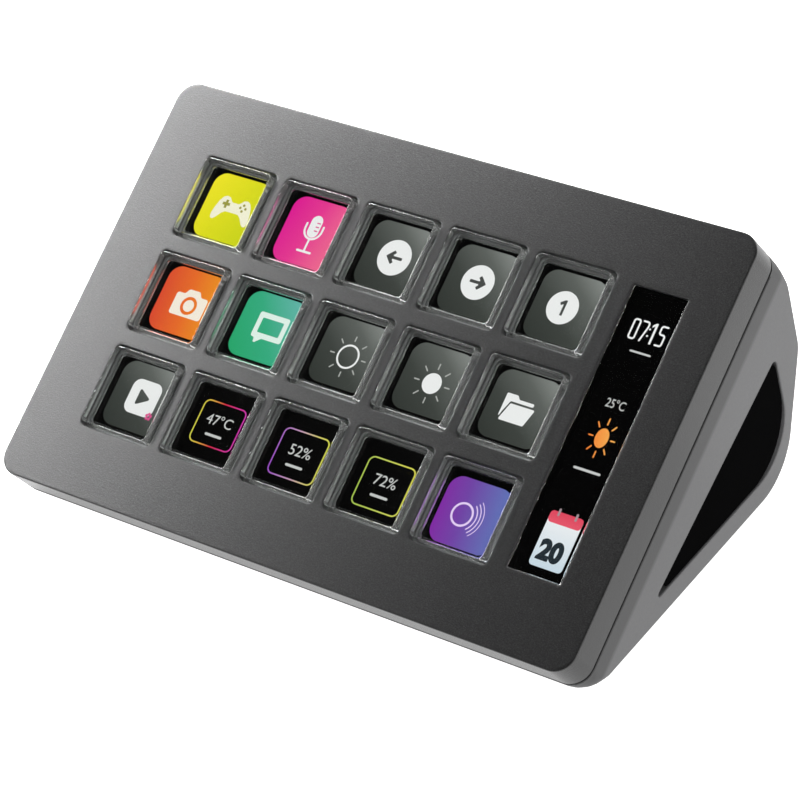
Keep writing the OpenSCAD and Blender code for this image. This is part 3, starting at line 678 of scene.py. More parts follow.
def build_shell():
    s = Shape()
    cols = shell_columns()
    K = 6

    # a column on each side whose last point lies on the line between band and draft
    def on_crease(lo, hi):
        (p0, n0, r0), (p1, n1, r1) = cols[lo], cols[hi]

        def at(t):
            n = v_unit((n0[0] + (n1[0] - n0[0]) * t, n0[1] + (n1[1] - n0[1]) * t))
            p = (p0[0] + (p1[0] - p0[0]) * t, p0[1] + (p1[1] - p0[1]) * t)
            r = r0 + (r1 - r0) * t
            return p, n, r, depth(p[0] + n[0] * r, p[1] + n[1] * r) - BAND_D

        a, b = 0.0, 1.0
        fa = at(a)[3]
        for _ in range(50):
            m = (a + b) / 2
            if (at(m)[3] > 0) == (fa > 0):
                a = m
            else:
                b = m
        return at((a + b) / 2)[:3]

    def last_depth(k):
        p, n, r = cols[k]
        return depth(p[0] + n[0] * r, p[1] + n[1] * r) - BAND_D

    cuts = [k for k in range(len(cols) - 1) if (last_depth(k) > 0) != (last_depth(k + 1) > 0)]
    for k in reversed(cuts):
        cols.insert(k + 1, on_crease(k, k + 1))
    crease = [k for k in range(len(cols)) if abs(last_depth(k)) < 1e-6]

    def skin(off, base_extra, fillet):
        """Rows of vertices, one for each column, from the left side plane round to the right one."""
        grid = []
        for p, n, rho in cols:
            t = off + (base_extra if n[1] > 0.9 else 0.0)
            q = (p[0] + n[0] * t, p[1] + n[1] * t)
            rf = fillet(rho)
            row = []
            for side in (-1, 1):
                pts = []
                for k in range(K + 1):
                    th = math.radians(90 * k / K)
                    o = rf * (1 - math.cos(th))
                    y, z = q[0] + n[0] * o, q[1] + n[1] * o
                    x = half_width(y, z) - off - rf * (1 - math.sin(th))
                    pts.append(sw(side * x, y, z))
                row += pts[::-1] if side < 0 else pts
                if side < 0:
                    row += [sw(-8, *q), sw(8, *q)]
            grid.append(s.ring(row))
        return grid

    outer = skin(0.0, 0.0, lambda r: r)
    inn = skin(SHELL_T, 0.2, lambda r: max(0.5, r - 2.2))
    ncol = len(cols)
    nrow = 2 * (K + 1) + 2
    mid = (K, K + 1, K + 2)
    # which strip is the base, and which the upper back, for their openings
    base_at = max(range(ncol - 1), key=lambda k: abs(cols[k + 1][0][0] - cols[k][0][0]) if cols[k][1][1] > 0.99 and cols[k + 1][1][1] > 0.99 else -1)
    back_at = max(range(ncol - 1), key=lambda k: abs(cols[k + 1][0][1] - cols[k][0][1]) if cols[k][1][0] < -0.9 and cols[k][0][1] > 12 else -1)
    low = back_at - 3
    for g in (outer, inn):
        for k in range(ncol - 1):
            for j in range(nrow - 1):
                if (j == K + 1 and low <= k <= back_at) or (g is outer and k == base_at and j in mid):
                    continue
                s.f.append((g[k][j], g[k + 1][j], g[k + 1][j + 1], g[k][j + 1]))

    # the socket's opening in the upper back
    def on_back(w, off):
        """(x, height) on the back face, moved off inwards; off = None puts it on the inner skin."""
        g = inn if off is None else outer
        ring_ = [s.v[g[k][K + 1]] - ORG for k in range(low, back_at + 2)]
        for k, (a, b) in enumerate(zip(ring_, ring_[1:])):
            if a.z <= w[1] <= b.z:
                t = (w[1] - a.z) / (b.z - a.z)
                na, nb = cols[low + k][1], cols[low + k + 1][1]
                n = v_unit((na[0] + (nb[0] - na[0]) * t, na[1] + (nb[1] - na[1]) * t))
                o = off or 0.0
                return sw(w[0], a.y + (b.y - a.y) * t + n[0] * o, w[1] + n[1] * o)
        raise ValueError("off the back face")

    er = 0.25
    rings = []
    for k in range(4):
        q = math.radians(90 * k / 3)
        o = er * (1 - math.sin(q))
        rings.append(s.ring([on_back(w, er * (1 - math.cos(q))) for w in stadium(9.5 + 2 * o, 3.8 + 2 * o, 0, USB_AXIS)]))
    rings.append(s.ring([on_back(w, None) for w in stadium(9.5, 3.8, 0, USB_AXIS)]))
    s.bands(rings)

    def flat_back(i):
        p = s.v[i]
        return (p.x, p.z)

    for g, hole in ((outer, rings[0]), (inn, rings[-1])):
        loop = [g[k][K + 1] for k in range(low, back_at + 2)] + [g[k][K + 2] for k in range(back_at + 1, low - 1, -1)]
        s.plane(loop, [hole], flat_back)

    # seats for the feet in the base
    seats = []
    for fx, fy in ((-44, 21.4), (44, 21.4), (-44, 55), (44, 55)):
        rim = [s.ring([sw(x, y, -NOSE_H + dz) for x, y in rr(28.4 + 2 * o, 11.4 + 2 * o, 5.4 + o, fx, fy, 10)])
               for o, dz in ((0.12, 0), (0.035, 0.035), (0, 0.12), (0, 0.7))]
        s.bands(rim)
        s.fill(rim[-1])
        seats.append(rim[0])

    def flat_base(i):
        p = s.v[i]
        return (p.x, p.y)

    s.plane([outer[base_at][K + j] for j in range(4)] + [outer[base_at + 1][K + j] for j in (3, 2, 1, 0)], seats, flat_base)

    # the two sides, with the line between band and draft and the opening for the inset
    for side, j in ((-1, 0), (1, nrow - 1)):
        er = 0.3
        rings = []
        for k in range(4):
            q = math.radians(90 * k / 3)
            o, dx = er * (1 - math.sin(q)), er * (1 - math.cos(q))
            rings.append(s.ring([sw(side * (half_width(y, z) - dx), y, z)
                                 for y, z in tri_outline(o, [0.5 + o, 10.5 + o, 1.1 + o])]))
        rings.append(s.ring([sw(side * (half_width(y, z) - SHELL_T), y, z) for y, z in tri_outline(0, INSET_RR)]))
        s.bands(rings)

        def flat_side(i):
            p = s.v[i]
            return (p.y, p.z)

        for g, hole in ((outer, rings[0]), (inn, rings[-1])):
            loop = [g[k][j] for k in range(ncol)]
            s.plane(loop, [hole], flat_side, extra=[(loop[crease[0]], loop[crease[-1]])] if g is outer else ())
    # the rim at the seam, with its edge broken
    loop = outer[0] + outer[-1][::-1]
    rim = []
    for i in loop:
        p = s.v[i] - ORG
        x, a = p.x, p.y * CT + p.z * ST
        if abs(x) < 8.5:
            a += RIM if a < MID else -RIM
        else:
            mx, my = math.copysign(COVER_W / 2 - COVER_R, x), COVER_R if a < MID else COVER_H - COVER_R
            x, a = mx + (x - mx) * (COVER_R - RIM) / COVER_R, my + (a - my) * (COVER_R - RIM) / COVER_R
        rim.append(pw(x, a, -SHELL_D))
    rim = s.ring(rim)
    s.band(loop, rim)
    s.band(rim, inn[0] + inn[-1][::-1])
    return s


def add_tongue(s):
    def ringo(o, n):
        return s.ring([pw(x, a, n) for x, a in rr(COVER_W - 2 * COVER_WALL - 2 * o, COVER_H - 2 * COVER_WALL - 2 * o, COVER_R - COVER_WALL - o, 0, MID, 8)])
    rings = [ringo(0.2, -SHELL_D - 1.6), ringo(0.2, -5.35), ringo(0.35, -5.2), ringo(1.25, -5.2), ringo(1.4, -5.35), ringo(1.4, -SHELL_D - 1.6)]
    s.bands(rings + [rings[0]])


def add_tubes(s):
    """Screw tubes that rise from the base towards the display carrier."""
    for px in (-50, 50):
        for a in (14, 43):
            def circ(rad, n):
                return [pw(x, y, n) for x, y in disc(rad, px, a, 28)]

            def to_base(rad):
                out = []
                for x, y in disc(rad, px, a, 28):
                    top = pw(x, y, -12.2)
                    t = (top.z - ORG.z - (-NOSE_H + 2.2)) / CT
                    out.append(pw(x, y, -12.2 - t))
                return out
            rings = [s.ring(circ(3.6, -12.2)), s.ring(circ(1.35, -12.2)), s.ring(circ(1.35, -14.2)), s.ring(circ(2.4, -14.2)), s.ring(to_base(2.4)), s.ring(to_base(3.6))]
            s.bands(rings + [rings[0]])


def add_shelf(s):
    """The little shelf that carries the socket's board."""
    z1 = USB_AXIS - 1.6 - 1 - 2.4
    z0 = z1 - 2
    prof = [(63.0, z0 + 0.2), (63.2, z0), (76.4, z0), (76.9, z1), (63.2, z1), (63.0, z1 - 0.2)]
    rings = [s.ring([sw(x, y, z) for y, z in prof]) for x in (-12.5, 12.5)]
    s.band(rings[0], rings[1])
    s.fill(rings[0])
    s.fill(rings[1])
    for x in (-9.2, 9.2):
        c = [s.ring([sw(p, q, z) for p, q in disc(rad, x, 66.5, 24)]) for rad, z in ((2.2, z1 - 0.2), (2.2, z1 + 2.3), (2.1, z1 + 2.4), (0.95, z1 + 2.4), (0.87, z1 + 2.3), (0.87, z1 - 0.1))]
        s.bands(c)
        s.fill(c[0])
        s.fill(c[-1])


rear = build_shell()
add_tubes(rear)
add_shelf(rear)
finish_mesh("rear_shell_body", rear, M_SHELL, stands_for=("rear_shell",), sharp=20)
# painted shade: the tongue is the shell's own plastic, given the near-black material so the seam between cover and
# shell reads as shadow
tongue = Shape()
add_tongue(tongue)
finish_mesh("rear_shell_tongue", tongue, M_BLACK_AND_SEAM_SHADE, sharp=20)


# ------------------------------------------------------------------ side insets
def build_inset(side):
    s = Shape()
    back, face, floor = 60.9, 62.1, 62.6

    def loop(d, rad, xf):
        return s.ring([sw(side * xf(y, z), y, z) for y, z in tri_outline(d, rad)])

    def lim(d, rad, xf):
        """The flange, kept inside the shell's hollow."""
        hollow = inset(PROFILE, [SHELL_T + 0.25, 2.65, SHELL_T + 0.25, SHELL_T + 0.25, SHELL_T + 0.25, 0])
        out = []
        for y, z in tri_outline(d, rad):
            for i in range(5):
                a, b = hollow[i], hollow[i + 1]
                u = v_unit((b[0] - a[0], b[1] - a[1]))
                n = (-u[1], u[0])
                k = (y - a[0]) * n[0] + (z - a[1]) * n[1]
                if k < 0:
                    y, z = y - n[0] * k, z - n[1] * k
            out.append(sw(side * xf, y, z))
        return s.ring(out)

    def rad(d):
        return [1.2 + 0.8 * d, 12 + d, 1.9 + 0.8 * d]

    front = [
        lim(1.3, [2.5, 13.3, 3.2], back + 0.15), lim(1.3, [2.5, 13.3, 3.2], face),
        loop(-0.12, rad(-0.12), lambda y, z: face),
        loop(-0.12, rad(-0.12), lambda y, z: half_width(y, z) - 0.42),
        loop(-0.16, rad(-0.16), lambda y, z: half_width(y, z) - 0.31),
        loop(-0.28, rad(-0.28), lambda y, z: half_width(y, z) - 0.25),
        loop(-0.7, rad(-0.7), lambda y, z: half_width(y, z) - 0.25),
    ]
    s.bands(front)
    s.fill(front[-1])
    behind = [front[0], lim(1.15, [2.4, 13.15, 3.1], back), loop(-1.75, [0.55, 10.25, 0.55], lambda y, z: back),
              loop(-1.9, [0.5, 10.1, 0.5], lambda y, z: back + 0.15), loop(-1.9, [0.5, 10.1, 0.5], lambda y, z: 63.1)]
    s.bands(behind)
    s.fill(behind[-1])
    return s


for side, nm in ((-1, "left"), (1, "right")):
    finish_mesh("inset_%s" % nm, build_inset(side), M_BLACK_AND_SEAM_SHADE, stands_for=("side_inset_%s" % nm,), sharp=30)


# ------------------------------------------------------------------ rubber feet
def build_feet():
    s = Shape()
    for fx, fy in ((-44, 21.4), (44, 21.4), (-44, 55), (44, 55)):
        z0 = -NOSE_H - FOOT
        prof = [(0.9, z0 + 0.06), (0.4, z0), (0.12, z0 + 0.08), (0.0, z0 + 0.3), (0.0, -NOSE_H + 0.6), (0.1, -NOSE_H + 0.7)]
        rings = [s.ring([sw(x, y, z) for x, y in rr(28 - 2 * o, 11 - 2 * o, 5.2 - o, fx, fy, 12)]) for o, z in prof]
        s.bands(rings)
        s.fill(rings[0])
        s.fill(rings[-1])
    return s


# ------------------------------------------------------------------ silicone mat
MAT_TOP, MAT_BOT = -2.85, -3.1


def build_mat_sheet():
    """Thin sheet with a window for each key, its corners rounded and its rims eased."""
    s = Shape()
    mid = key_y(2)
    prof = ((0.06, MAT_BOT), (0.0, MAT_BOT + 0.06), (0.0, MAT_TOP - 0.06), (0.06, MAT_TOP))
    rings = []
    for o, n in prof:
        ring = s.ring([pw(x, a, n) for x, a in rr(100 - 2 * o, 63 - 2 * o, 1.2, -6, mid, 6)])
        holes = [s.ring([pw(x, a, n) for x, a in rr(14.6 + 2 * o, 14.6 + 2 * o, 1.0 + o, key_x(c), key_y(r), 5)]) for r in (1, 2, 3) for c in (1, 2, 3, 4, 5)]
        rings.append((ring, holes))

    def flat(i):
        q = s.v[i] - ORG
        return (q.x, q.y * CT + q.z * ST)
    for ring, holes in (rings[0], rings[-1]):
        s.plane(ring, holes, flat)
    for a, b in zip(rings, rings[1:]):
        s.band(a[0], b[0])
        for ha, hb in zip(a[1], b[1]):
            s.band(ha, hb)
    return s


def build_collar(r, c):
    """Springy collar under one key's flange."""
    s = Shape()
    prof = ((17.4, 1.6, MAT_TOP), (17.4, 1.6, -2.34), (17.36, 1.58, -2.25), (17.22, 1.51, -2.2), (15.78, 1.29, -2.2), (15.64, 1.22, -2.25), (15.6, 1.2, -2.34), (15.6, 1.2, MAT_TOP))
    rings = [s.ring([pw(x, a, n) for x, a in rr(w, w, rad, key_x(c), key_y(r), 6)]) for w, rad, n in prof]
    s.bands(rings)
    s.band(rings[-1], rings[0])
    return s


finish_mesh("mat_sheet", build_mat_sheet(), M_MAT, stands_for=("key_membrane",), sharp=35)
for r in (1, 2, 3):
    for c in (1, 2, 3, 4, 5):
        ob = finish_mesh("mat_collar_row%d_col%d" % (r, c), build_collar(r, c), M_MAT, sharp=35, weighted=False)
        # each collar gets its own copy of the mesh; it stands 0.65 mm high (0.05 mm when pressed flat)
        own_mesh(ob)


finish_mesh("feet_pads", build_feet(), M_RUBBER, stands_for=("rubber_feet",), sharp=35)


# ------------------------------------------------------------------ what the display shows
T0, T1, T2, T3 = LCD_N + 0.004, LCD_N + 0.024, LCD_N + 0.044, LCD_N + 0.064


def plate(s, outline, n0, n1, holes=()):
    """A thin flat piece of the picture: outline and holes in panel millimetres."""
    rings = []
    for n in (n0, n1):
        o = s.ring([pw(x, a, n) for x, a in outline])
        hs = [s.ring([pw(x, a, n) for x, a in h]) for h in holes]
        rings.append((o, hs))

        def flat(i):
            p = s.v[i] - ORG
            return (p.x, p.y * CT + p.z * ST)
        s.plane(o, hs, flat)
    s.band(rings[0][0], rings[1][0])
    for a, b in zip(rings[0][1], rings[1][1]):
        s.band(a, b)


def fillet_path(pts, r, closed=False, n=6):
    """A path with its corners rounded."""
    out = []
    m = len(pts)
    for i in range(m):
        if not closed and i in (0, m - 1):
            out.append(pts[i])
            continue
        c, p0, p2 = pts[i], pts[i - 1], pts[(i + 1) % m]
        a, b = v_unit((p0[0] - c[0], p0[1] - c[1])), v_unit((p2[0] - c[0], p2[1] - c[1]))
        dot = max(-1, min(1, a[0] * b[0] + a[1] * b[1]))
        half = math.acos(dot) / 2
        if half > math.radians(88) or r <= 0:
            out.append(c)
            continue
        la, lb = math.hypot(p0[0] - c[0], p0[1] - c[1]), math.hypot(p2[0] - c[0], p2[1] - c[1])
        rr_ = min(r, 0.48 * min(la, lb) * math.tan(half))
        out += [q for q, _ in corner([p0, c, p2], 1, rr_, n)]
    return out


def stroke(s, pts, w, n0, n1, closed=False, cap=True):
    """A line of width w along a path, as a thin flat piece."""
    m = len(pts)
    left, right = [], []
    for i in range(m):
        p = pts[i]
        prev = pts[i - 1] if (i > 0 or closed) else None
        nxt = pts[(i + 1) % m] if (i < m - 1 or closed) else None
        if prev is None:
            d = v_unit((nxt[0] - p[0], nxt[1] - p[1]))
            nv, k = (-d[1], d[0]), 1.0
        elif nxt is None:
            d = v_unit((p[0] - prev[0], p[1] - prev[1]))
            nv, k = (-d[1], d[0]), 1.0
        else:
            d0, d1 = v_unit((p[0] - prev[0], p[1] - prev[1])), v_unit((nxt[0] - p[0], nxt[1] - p[1]))
            n0_, n1_ = (-d0[1], d0[0]), (-d1[1], d1[0])
            nv = v_unit((n0_[0] + n1_[0], n0_[1] + n1_[1]))
            k = min(2.0, 1 / max(0.3, nv[0] * n0_[0] + nv[1] * n0_[1]))
        left.append((p[0] + nv[0] * k * w / 2, p[1] + nv[1] * k * w / 2))
        right.append((p[0] - nv[0] * k * w / 2, p[1] - nv[1] * k * w / 2))
    if closed:
        big, small = (left, right) if area(left) * sign(area(pts)) > area(right) * sign(area(pts)) else (right, left)
        plate(s, big, n0, n1, [small])
        return
    end, start = [], []
    if cap:
        d = v_unit((pts[-1][0] - pts[-2][0], pts[-1][1] - pts[-2][1]))
        for j in range(1, 6):
            q = math.radians(-90 + 180 * j / 6)
            cx, sy = math.cos(q), math.sin(q)
            end.append((pts[-1][0] + w / 2 * (d[0] * cx - d[1] * sy), pts[-1][1] + w / 2 * (d[1] * cx + d[0] * sy)))
        d = v_unit((pts[0][0] - pts[1][0], pts[0][1] - pts[1][1]))
        for j in range(1, 6):
            q = math.radians(-90 + 180 * j / 6)
            cx, sy = math.cos(q), math.sin(q)
            start.append((pts[0][0] + w / 2 * (d[0] * cx - d[1] * sy), pts[0][1] + w / 2 * (d[1] * cx + d[0] * sy)))
    plate(s, right + end + left[::-1] + start, n0, n1)


def area(p):
    return sum(p[i - 1][0] * p[i][1] - p[i][0] * p[i - 1][1] for i in range(len(p))) / 2


def sign(x):
    return 1 if x >= 0 else -1


def shifted(pts, cx, cy, k=1.0):
    return [(cx + x * k, cy + y * k) for x, y in pts]


def picture(name, shape, material):
    return finish_mesh(name, shape, material, sharp=20, weighted=False, merge=1e-8)


def letters(name, text, cx, cy, height, n0, n1, material, stretch=1.0, weight=0.0):
    """Plain figures from Blender's own font, as thin flat pieces."""
    cu = bpy.data.curves.new(name + "_curve", "FONT")
    cu.body = text
    cu.align_x, cu.align_y = "CENTER", "CENTER"
    cu.size = 1.0
    cu.resolution_u = 6
    cu.offset = weight
    tmp = bpy.data.objects.new(name + "_tmp", cu)
    bpy.context.scene.collection.objects.link(tmp)
    dg = bpy.context.evaluated_depsgraph_get()
    me = bpy.data.meshes.new_from_object(tmp.evaluated_get(dg))
    bpy.data.objects.remove(tmp)
    bpy.data.curves.remove(cu)
    xs, ys = [v.co.x for v in me.vertices], [v.co.y for v in me.vertices]
    mx, my, hh = (min(xs) + max(xs)) / 2, (min(ys) + max(ys)) / 2, max(ys) - min(ys)
    k = height / hh
    bm = bmesh.new()
    bm.from_mesh(me)
    bmesh.ops.remove_doubles(bm, verts=bm.verts, dist=1e-5)
    faces = bm.faces[:]
    ext = bmesh.ops.extrude_face_region(bm, geom=faces, use_keep_orig=True)
    up = [v for v in ext["geom"] if isinstance(v, bmesh.types.BMVert)]
    lift = set(up)
    for v in bm.verts:
        x, y = (v.co.x - mx) * k * stretch + cx, (v.co.y - my) * k + cy
        v.co = pw(x, y, n1 if v in lift else n0) * 0.001
    bmesh.ops.recalc_face_normals(bm, faces=bm.faces)
    bm.to_mesh(me)
    bm.free()
    me.materials.clear()
    me.materials.append(material)
    ob = bpy.data.objects.new(name, me)
    bpy.context.scene.collection.objects.link(ob)
    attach(ob, BODY)
    return ob


OFF_X = {1: 0.53, 2: 0.65, 3: 0.53, 4: 0.38, 5: 0.2}
# middle and height of the lit tiles in each row
ROW_A = {1: (62.2, 13.45), 2: (42.32, 13.2), 3: (22.15, 13.3)}


def tile_centre(r, c):
    if (r, c) == (3, 5):
        return key_x(c) + OFF_X[c], 21.38
    return key_x(c) + OFF_X[c], ROW_A[r][0]


def tile(r, c, stops, direction=(1, 0.4), span=16.0, strength=1.0):
    x, y = tile_centre(r, c)
    m = glow("glow_tile_r%dc%d" % (r, c), stops, direction, (x, y), span, strength)
    s = Shape()
    plate(s, rr(13.4, 12.75 if (r, c) == (3, 5) else ROW_A[r][1], 2.7, x, y, 10), T0, T1)
    return picture("tile_row%d_col%d" % (r, c), s, m)


GREY = [(0.0, (50, 54, 50)), (0.4, (66, 70, 66)), (0.72, (98, 102, 98)), (1.0, (146, 150, 146))]
WHITE = glow("glow_white", [(0.0, (236, 238, 236)), (1.0, (246, 247, 246))], span=60)
PALE = glow("glow_pale", [(0.0, (196, 198, 196)), (1.0, (206, 208, 206))], span=60)
CREAM = glow("glow_cream", [(0.0, (250, 246, 206)), (1.0, (253, 250, 222))], span=60)
DARKMARK = glow("glow_mark", [(0.0, (62, 64, 62)), (1.0, (76, 78, 76))], span=60)
OLIVE = glow("glow_olive", [(0.0, (176, 172, 60)), (1.0, (160, 158, 70))], span=60)
PINKMARK = glow("glow_pinkmark", [(0.0, (236, 70, 130)), (1.0, (226, 90, 150))], span=60)
PURPLEMARK = glow("glow_line", [(0.0, (244, 208, 255)), (1.0, (236, 214, 255))], span=60)

# row 1
tile(1, 1, [(0.0, (250, 238, 44)), (0.5, (230, 229, 34)), (1.0, (208, 218, 30))], (1, -0.5))
tile(1, 2, [(0.0, (228, 26, 152)), (0.45, (238, 60, 150)), (1.0, (250, 118, 150))], (1, -0.25))
for c in (3, 4, 5):
    tile(1, c, GREY, (0.8, 1), 19)
# row 2
tile(2, 1, [(0.0, (224, 70, 52)), (0.5, (240, 112, 44)), (1.0, (246, 158, 36))], (1, 0.1))
tile(2, 2, [(0.0, (44, 172, 112)), (0.5, (58, 176, 132)), (1.0, (104, 188, 176))], (1, 0.7))
for c in (3, 4, 5):
    tile(2, c, GREY, (0.8, 1), 19)
# row 3
tile(3, 1, GREY, (0.8, 1), 19)
for c in (2, 3, 4):
    tile(3, c, [(0.0, (2, 2, 2)), (1.0, (5, 5, 5))])
tile(3, 5, [(0.0, (138, 38, 168)), (0.4, (118, 72, 172)), (1.0, (98, 126, 192))], (1, 0.1))


def gamepad():
    x, y = -43.03, 62.2
    k = 1.0
    half = [(0.0, 1.35), (0.75, 1.3), (1.15, 1.62), (1.7, 2.2), (2.5, 2.35), (3.2, 2.0), (3.75, 1.1), (4.2, -0.3), (4.45, -1.7), (4.3, -2.6), (3.75, -2.85),
            (3.1, -2.3), (2.3, -1.25), (1.6, -0.75), (0.8, -0.7), (0.0, -0.7)]
    pts = half + [(-px, py) for px, py in half[::-1][1:-1]]
    path = fillet_path(shifted(pts, x, y + 0.1, k), 0.5, closed=True, n=3)
    s = Shape()
    plate(s, path, T1, T2)
    picture("sign_gamepad", s, CREAM)
    s = Shape()
    cx, cy = x - 2.0, y + 0.85
    cross = [(-0.28, 0.85), (-0.28, 0.28), (-0.85, 0.28), (-0.85, -0.28), (-0.28, -0.28), (-0.28, -0.85), (0.28, -0.85), (0.28, -0.28), (0.85, -0.28), (0.85, 0.28), (0.28, 0.28), (0.28, 0.85)]
    plate(s, shifted(cross, cx, cy), T2, T3)
    for dx, dy in ((0, 0.62), (0, -0.62), (0.62, 0), (-0.62, 0)):
        plate(s, disc(0.27, x + 2.05 + dx, y + 0.85 + dy, 16), T2, T3)
    picture("sign_gamepad_keys", s, OLIVE)


def microphone():
    x, y = -23.87, 61.95
    s = Shape()
    plate(s, rr(2.5, 4.5, 1.25, x, y + 1.7, 10), T1, T2)
    arc = [(x + 1.95 * math.cos(math.radians(q)), y + 1.1 + 1.95 * math.sin(math.radians(q))) for q in range(180, 361, 12)]
    arc = [(x - 1.95, y + 2.0)] + arc + [(x + 1.95, y + 2.0)]
    stroke(s, arc, 0.42, T1, T2)
    stroke(s, [(x, y - 0.8), (x, y - 3.3)], 0.42, T1, T2, cap=False)
    stroke(s, [(x - 1.5, y - 3.5), (x + 1.5, y - 3.5)], 0.45, T1, T2)
    picture("sign_microphone", s, WHITE)
    s = Shape()
    for k in range(3):
        stroke(s, [(x + 0.25, y + 2.5 - k * 0.8), (x + 0.85, y + 2.5 - k * 0.8)], 0.24, T2, T3)
    picture("sign_microphone_grille", s, PINKMARK)


def disc_arrow(r, c, flip):
    x, y = {3: -4.57, 4: 14.34}[c], 62.3
    s = Shape()
    plate(s, disc({3: 3.55, 4: 3.4}[c], x, y, 64), T1, T2)
    picture("sign_disc_r%dc%d" % (r, c), s, WHITE)
    s = Shape()
    w = 0.33
    pts = [(-1.75, 0.0), (-0.35, 1.35), (0.1, 0.9), (-0.55, 0.28), (1.65, 0.28), (1.65, -0.28), (-0.55, -0.28), (0.1, -0.9), (-0.35, -1.35)]
    pts = [(px * flip * 1.05, py * 1.05) for px, py in pts]
    if flip < 0:
        pts = pts[::-1]
    plate(s, fillet_path(shifted(pts, x, y), 0.16, closed=True, n=3), T2, T3)
    picture("sign_arrow_r%dc%d" % (r, c), s, DARKMARK)


def camera_sign():
    x, y = -42.64, 42.1
    s = Shape()
    body = [(-3.75, -2.6), (3.75, -2.6), (3.75, 1.9), (1.95, 1.9), (1.25, 2.95), (-1.25, 2.95), (-1.95, 1.9), (-3.75, 1.9)]
    plate(s, fillet_path(shifted(body, x, y), 0.55, closed=True, n=5), T1, T2, [disc(1.85, x, y - 0.25, 40)])
    plate(s, disc(1.2, x, y - 0.25, 36), T1, T2)
    picture("sign_camera", s, glow("glow_camera", [(0.0, (255, 238, 214)), (1.0, (255, 244, 228))], span=60))


def bubble():
    x, y = -23.15, 42.1
    s = Shape()
    # an open speech frame with its tail at the lower left
    outer = [(-3.5, -2.0), (-2.5, -2.0), (-2.5, -3.35), (-0.9, -2.0), (3.5, -2.0), (3.5, 3.1), (-3.5, 3.1)]
    hole = rr(5.0, 3.0, 0.25, x, y + 0.55, 4)
    plate(s, fillet_path(shifted(outer, x, y), 0.45, closed=True, n=4), T1, T2, [hole])
    picture("sign_bubble", s, glow("glow_bubble", [(0.0, (214, 244, 230)), (1.0, (232, 250, 240))], span=60))


RAYS = glow("glow_rays", [(0.0, (168, 170, 166)), (1.0, (176, 178, 174))], span=60)


def sun(r, c, filled, scale=1.0, cx=None, cy=None, mat=None, name=None, n0=T1, n1=T2, rays=8):
    x, y = tile_centre(r, c) if cx is None else (cx, cy)
    s = Shape()
    k = scale
    if filled:
        plate(s, disc(2.0 * k, x, y, 48), n0, n1)
    else:
        plate(s, disc(2.4 * k, x, y, 48), n0, n1, [disc(2.03 * k, x, y, 48)])
    picture(name or "sign_sun_r%dc%d" % (r, c), s, mat or WHITE)
    s = Shape()
    for i in range(rays):
        q = 2 * math.pi * i / rays
        a, b = (2.85 * k, 3.85 * k) if filled else (3.15 * k, 4.0 * k)
        stroke(s, [(x + a * math.cos(q), y + a * math.sin(q)), (x + b * math.cos(q), y + b * math.sin(q))], 0.26 * k, n0, n1)
    picture("sign_rays_r%dc%d" % (r, c), s, RAYS)


def folder():
    x, y = 33.2, 42.0
    s = Shape()
    back = [(-3.2, -2.5), (-3.2, 2.6), (-0.9, 2.6), (-0.3, 1.9), (2.9, 1.9), (2.9, 1.25), (-1.9, 1.25), (-2.75, -0.9)]
    plate(s, fillet_path(shifted(back, x, y), 0.22, closed=True, n=3), T1, T2)
    front = [(-2.95, -2.55), (2.45, -2.55), (3.5, 0.85), (-1.75, 0.85)]
    plate(s, fillet_path(shifted(front, x, y), 0.25, closed=True, n=3), T1, T2)
    picture("sign_folder", s, WHITE)


def play():
    x, y = -42.88, 22.34
    s = Shape()
    tri = fillet_path(shifted([(-1.35, -1.75), (1.75, 0.0), (-1.35, 1.75)], x, y), 0.3, closed=True, n=5)
    plate(s, rr(6.9, 6.9, 1.7, x, y, 10), T1, T2, [tri])
    picture("sign_play", s, WHITE)
    s = Shape()
    for k in range(5):
        q = math.pi / 2 + 2 * math.pi * k / 5
        cx, cy = x + 3.0 + 0.5 * math.cos(q), y - 3.05 + 0.5 * math.sin(q)
        plate(s, disc(0.3, cx, cy, 14), T2, T3)
    picture("sign_play_badge", s, PINKMARK)


def meter(r, c, value, stops, direction):
    x, y, w, h = {2: (-24.45, 21.96, 10.0, 8.7), 3: (-5.1, 21.43, 10.5, 9.35), 4: (14.39, 21.28, 10.5, 9.6)}[c]
    m = glow("glow_frame_r%dc%d" % (r, c), stops, direction, (x, y), 11.5)
    s = Shape()
    plate(s, rr(w, h, 1.3, x, y, 8), T1, T2, [rr(w - 0.5, h - 0.5, 1.05, x, y, 8)])
    picture("frame_r%dc%d" % (r, c), s, m)
    letters("value_r%dc%d" % (r, c), value, x, y + 0.9, 2.1, T1, T2, PALE, 1.02, 0.0)
    s = Shape()
    stroke(s, [(x - 1.7, y - 2.1), (x + 1.7, y - 2.1)], 0.5, T1, T2)
    picture("gauge_r%dc%d" % (r, c), s, PALE)


gamepad()
microphone()
disc_arrow(1, 3, 1)
disc_arrow(1, 4, -1)
x15, y15 = 32.97, 62.3
sh = Shape()
plate(sh, disc(3.2, x15, y15, 64), T1, T2)
picture("sign_disc_r1c5", sh, WHITE)
sh = Shape()
plate(sh, fillet_path(shifted([(-0.02, -1.5), (0.5, -1.5), (0.5, 1.5), (0.05, 1.5), (-0.85, 0.85), (-0.55, 0.35), (-0.02, 0.72)], x15, y15), 0.06, closed=True, n=2), T2, T3)
picture("figure_r1c5", sh, DARKMARK)
camera_sign()
bubble()
sun(2, 3, False, 1.0, -4.57, 41.89)
sun(2, 4, True, 1.0, 14.53, 41.89)
folder()
play()
meter(3, 2, "47°C", [(0.0, (214, 226, 84)), (0.2, (226, 190, 70)), (0.5, (214, 44, 66)), (1.0, (212, 64, 184))], (1, 0.1))
meter(3, 3, "52%", [(0.0, (158, 80, 204)), (0.45, (204, 160, 190)), (0.8, (222, 212, 112)), (1.0, (226, 226, 88))], (1, 0.2))
meter(3, 4, "72%", [(0.0, (176, 206, 88)), (0.5, (206, 218, 100)), (1.0, (230, 224, 90))], (1, 0.3))


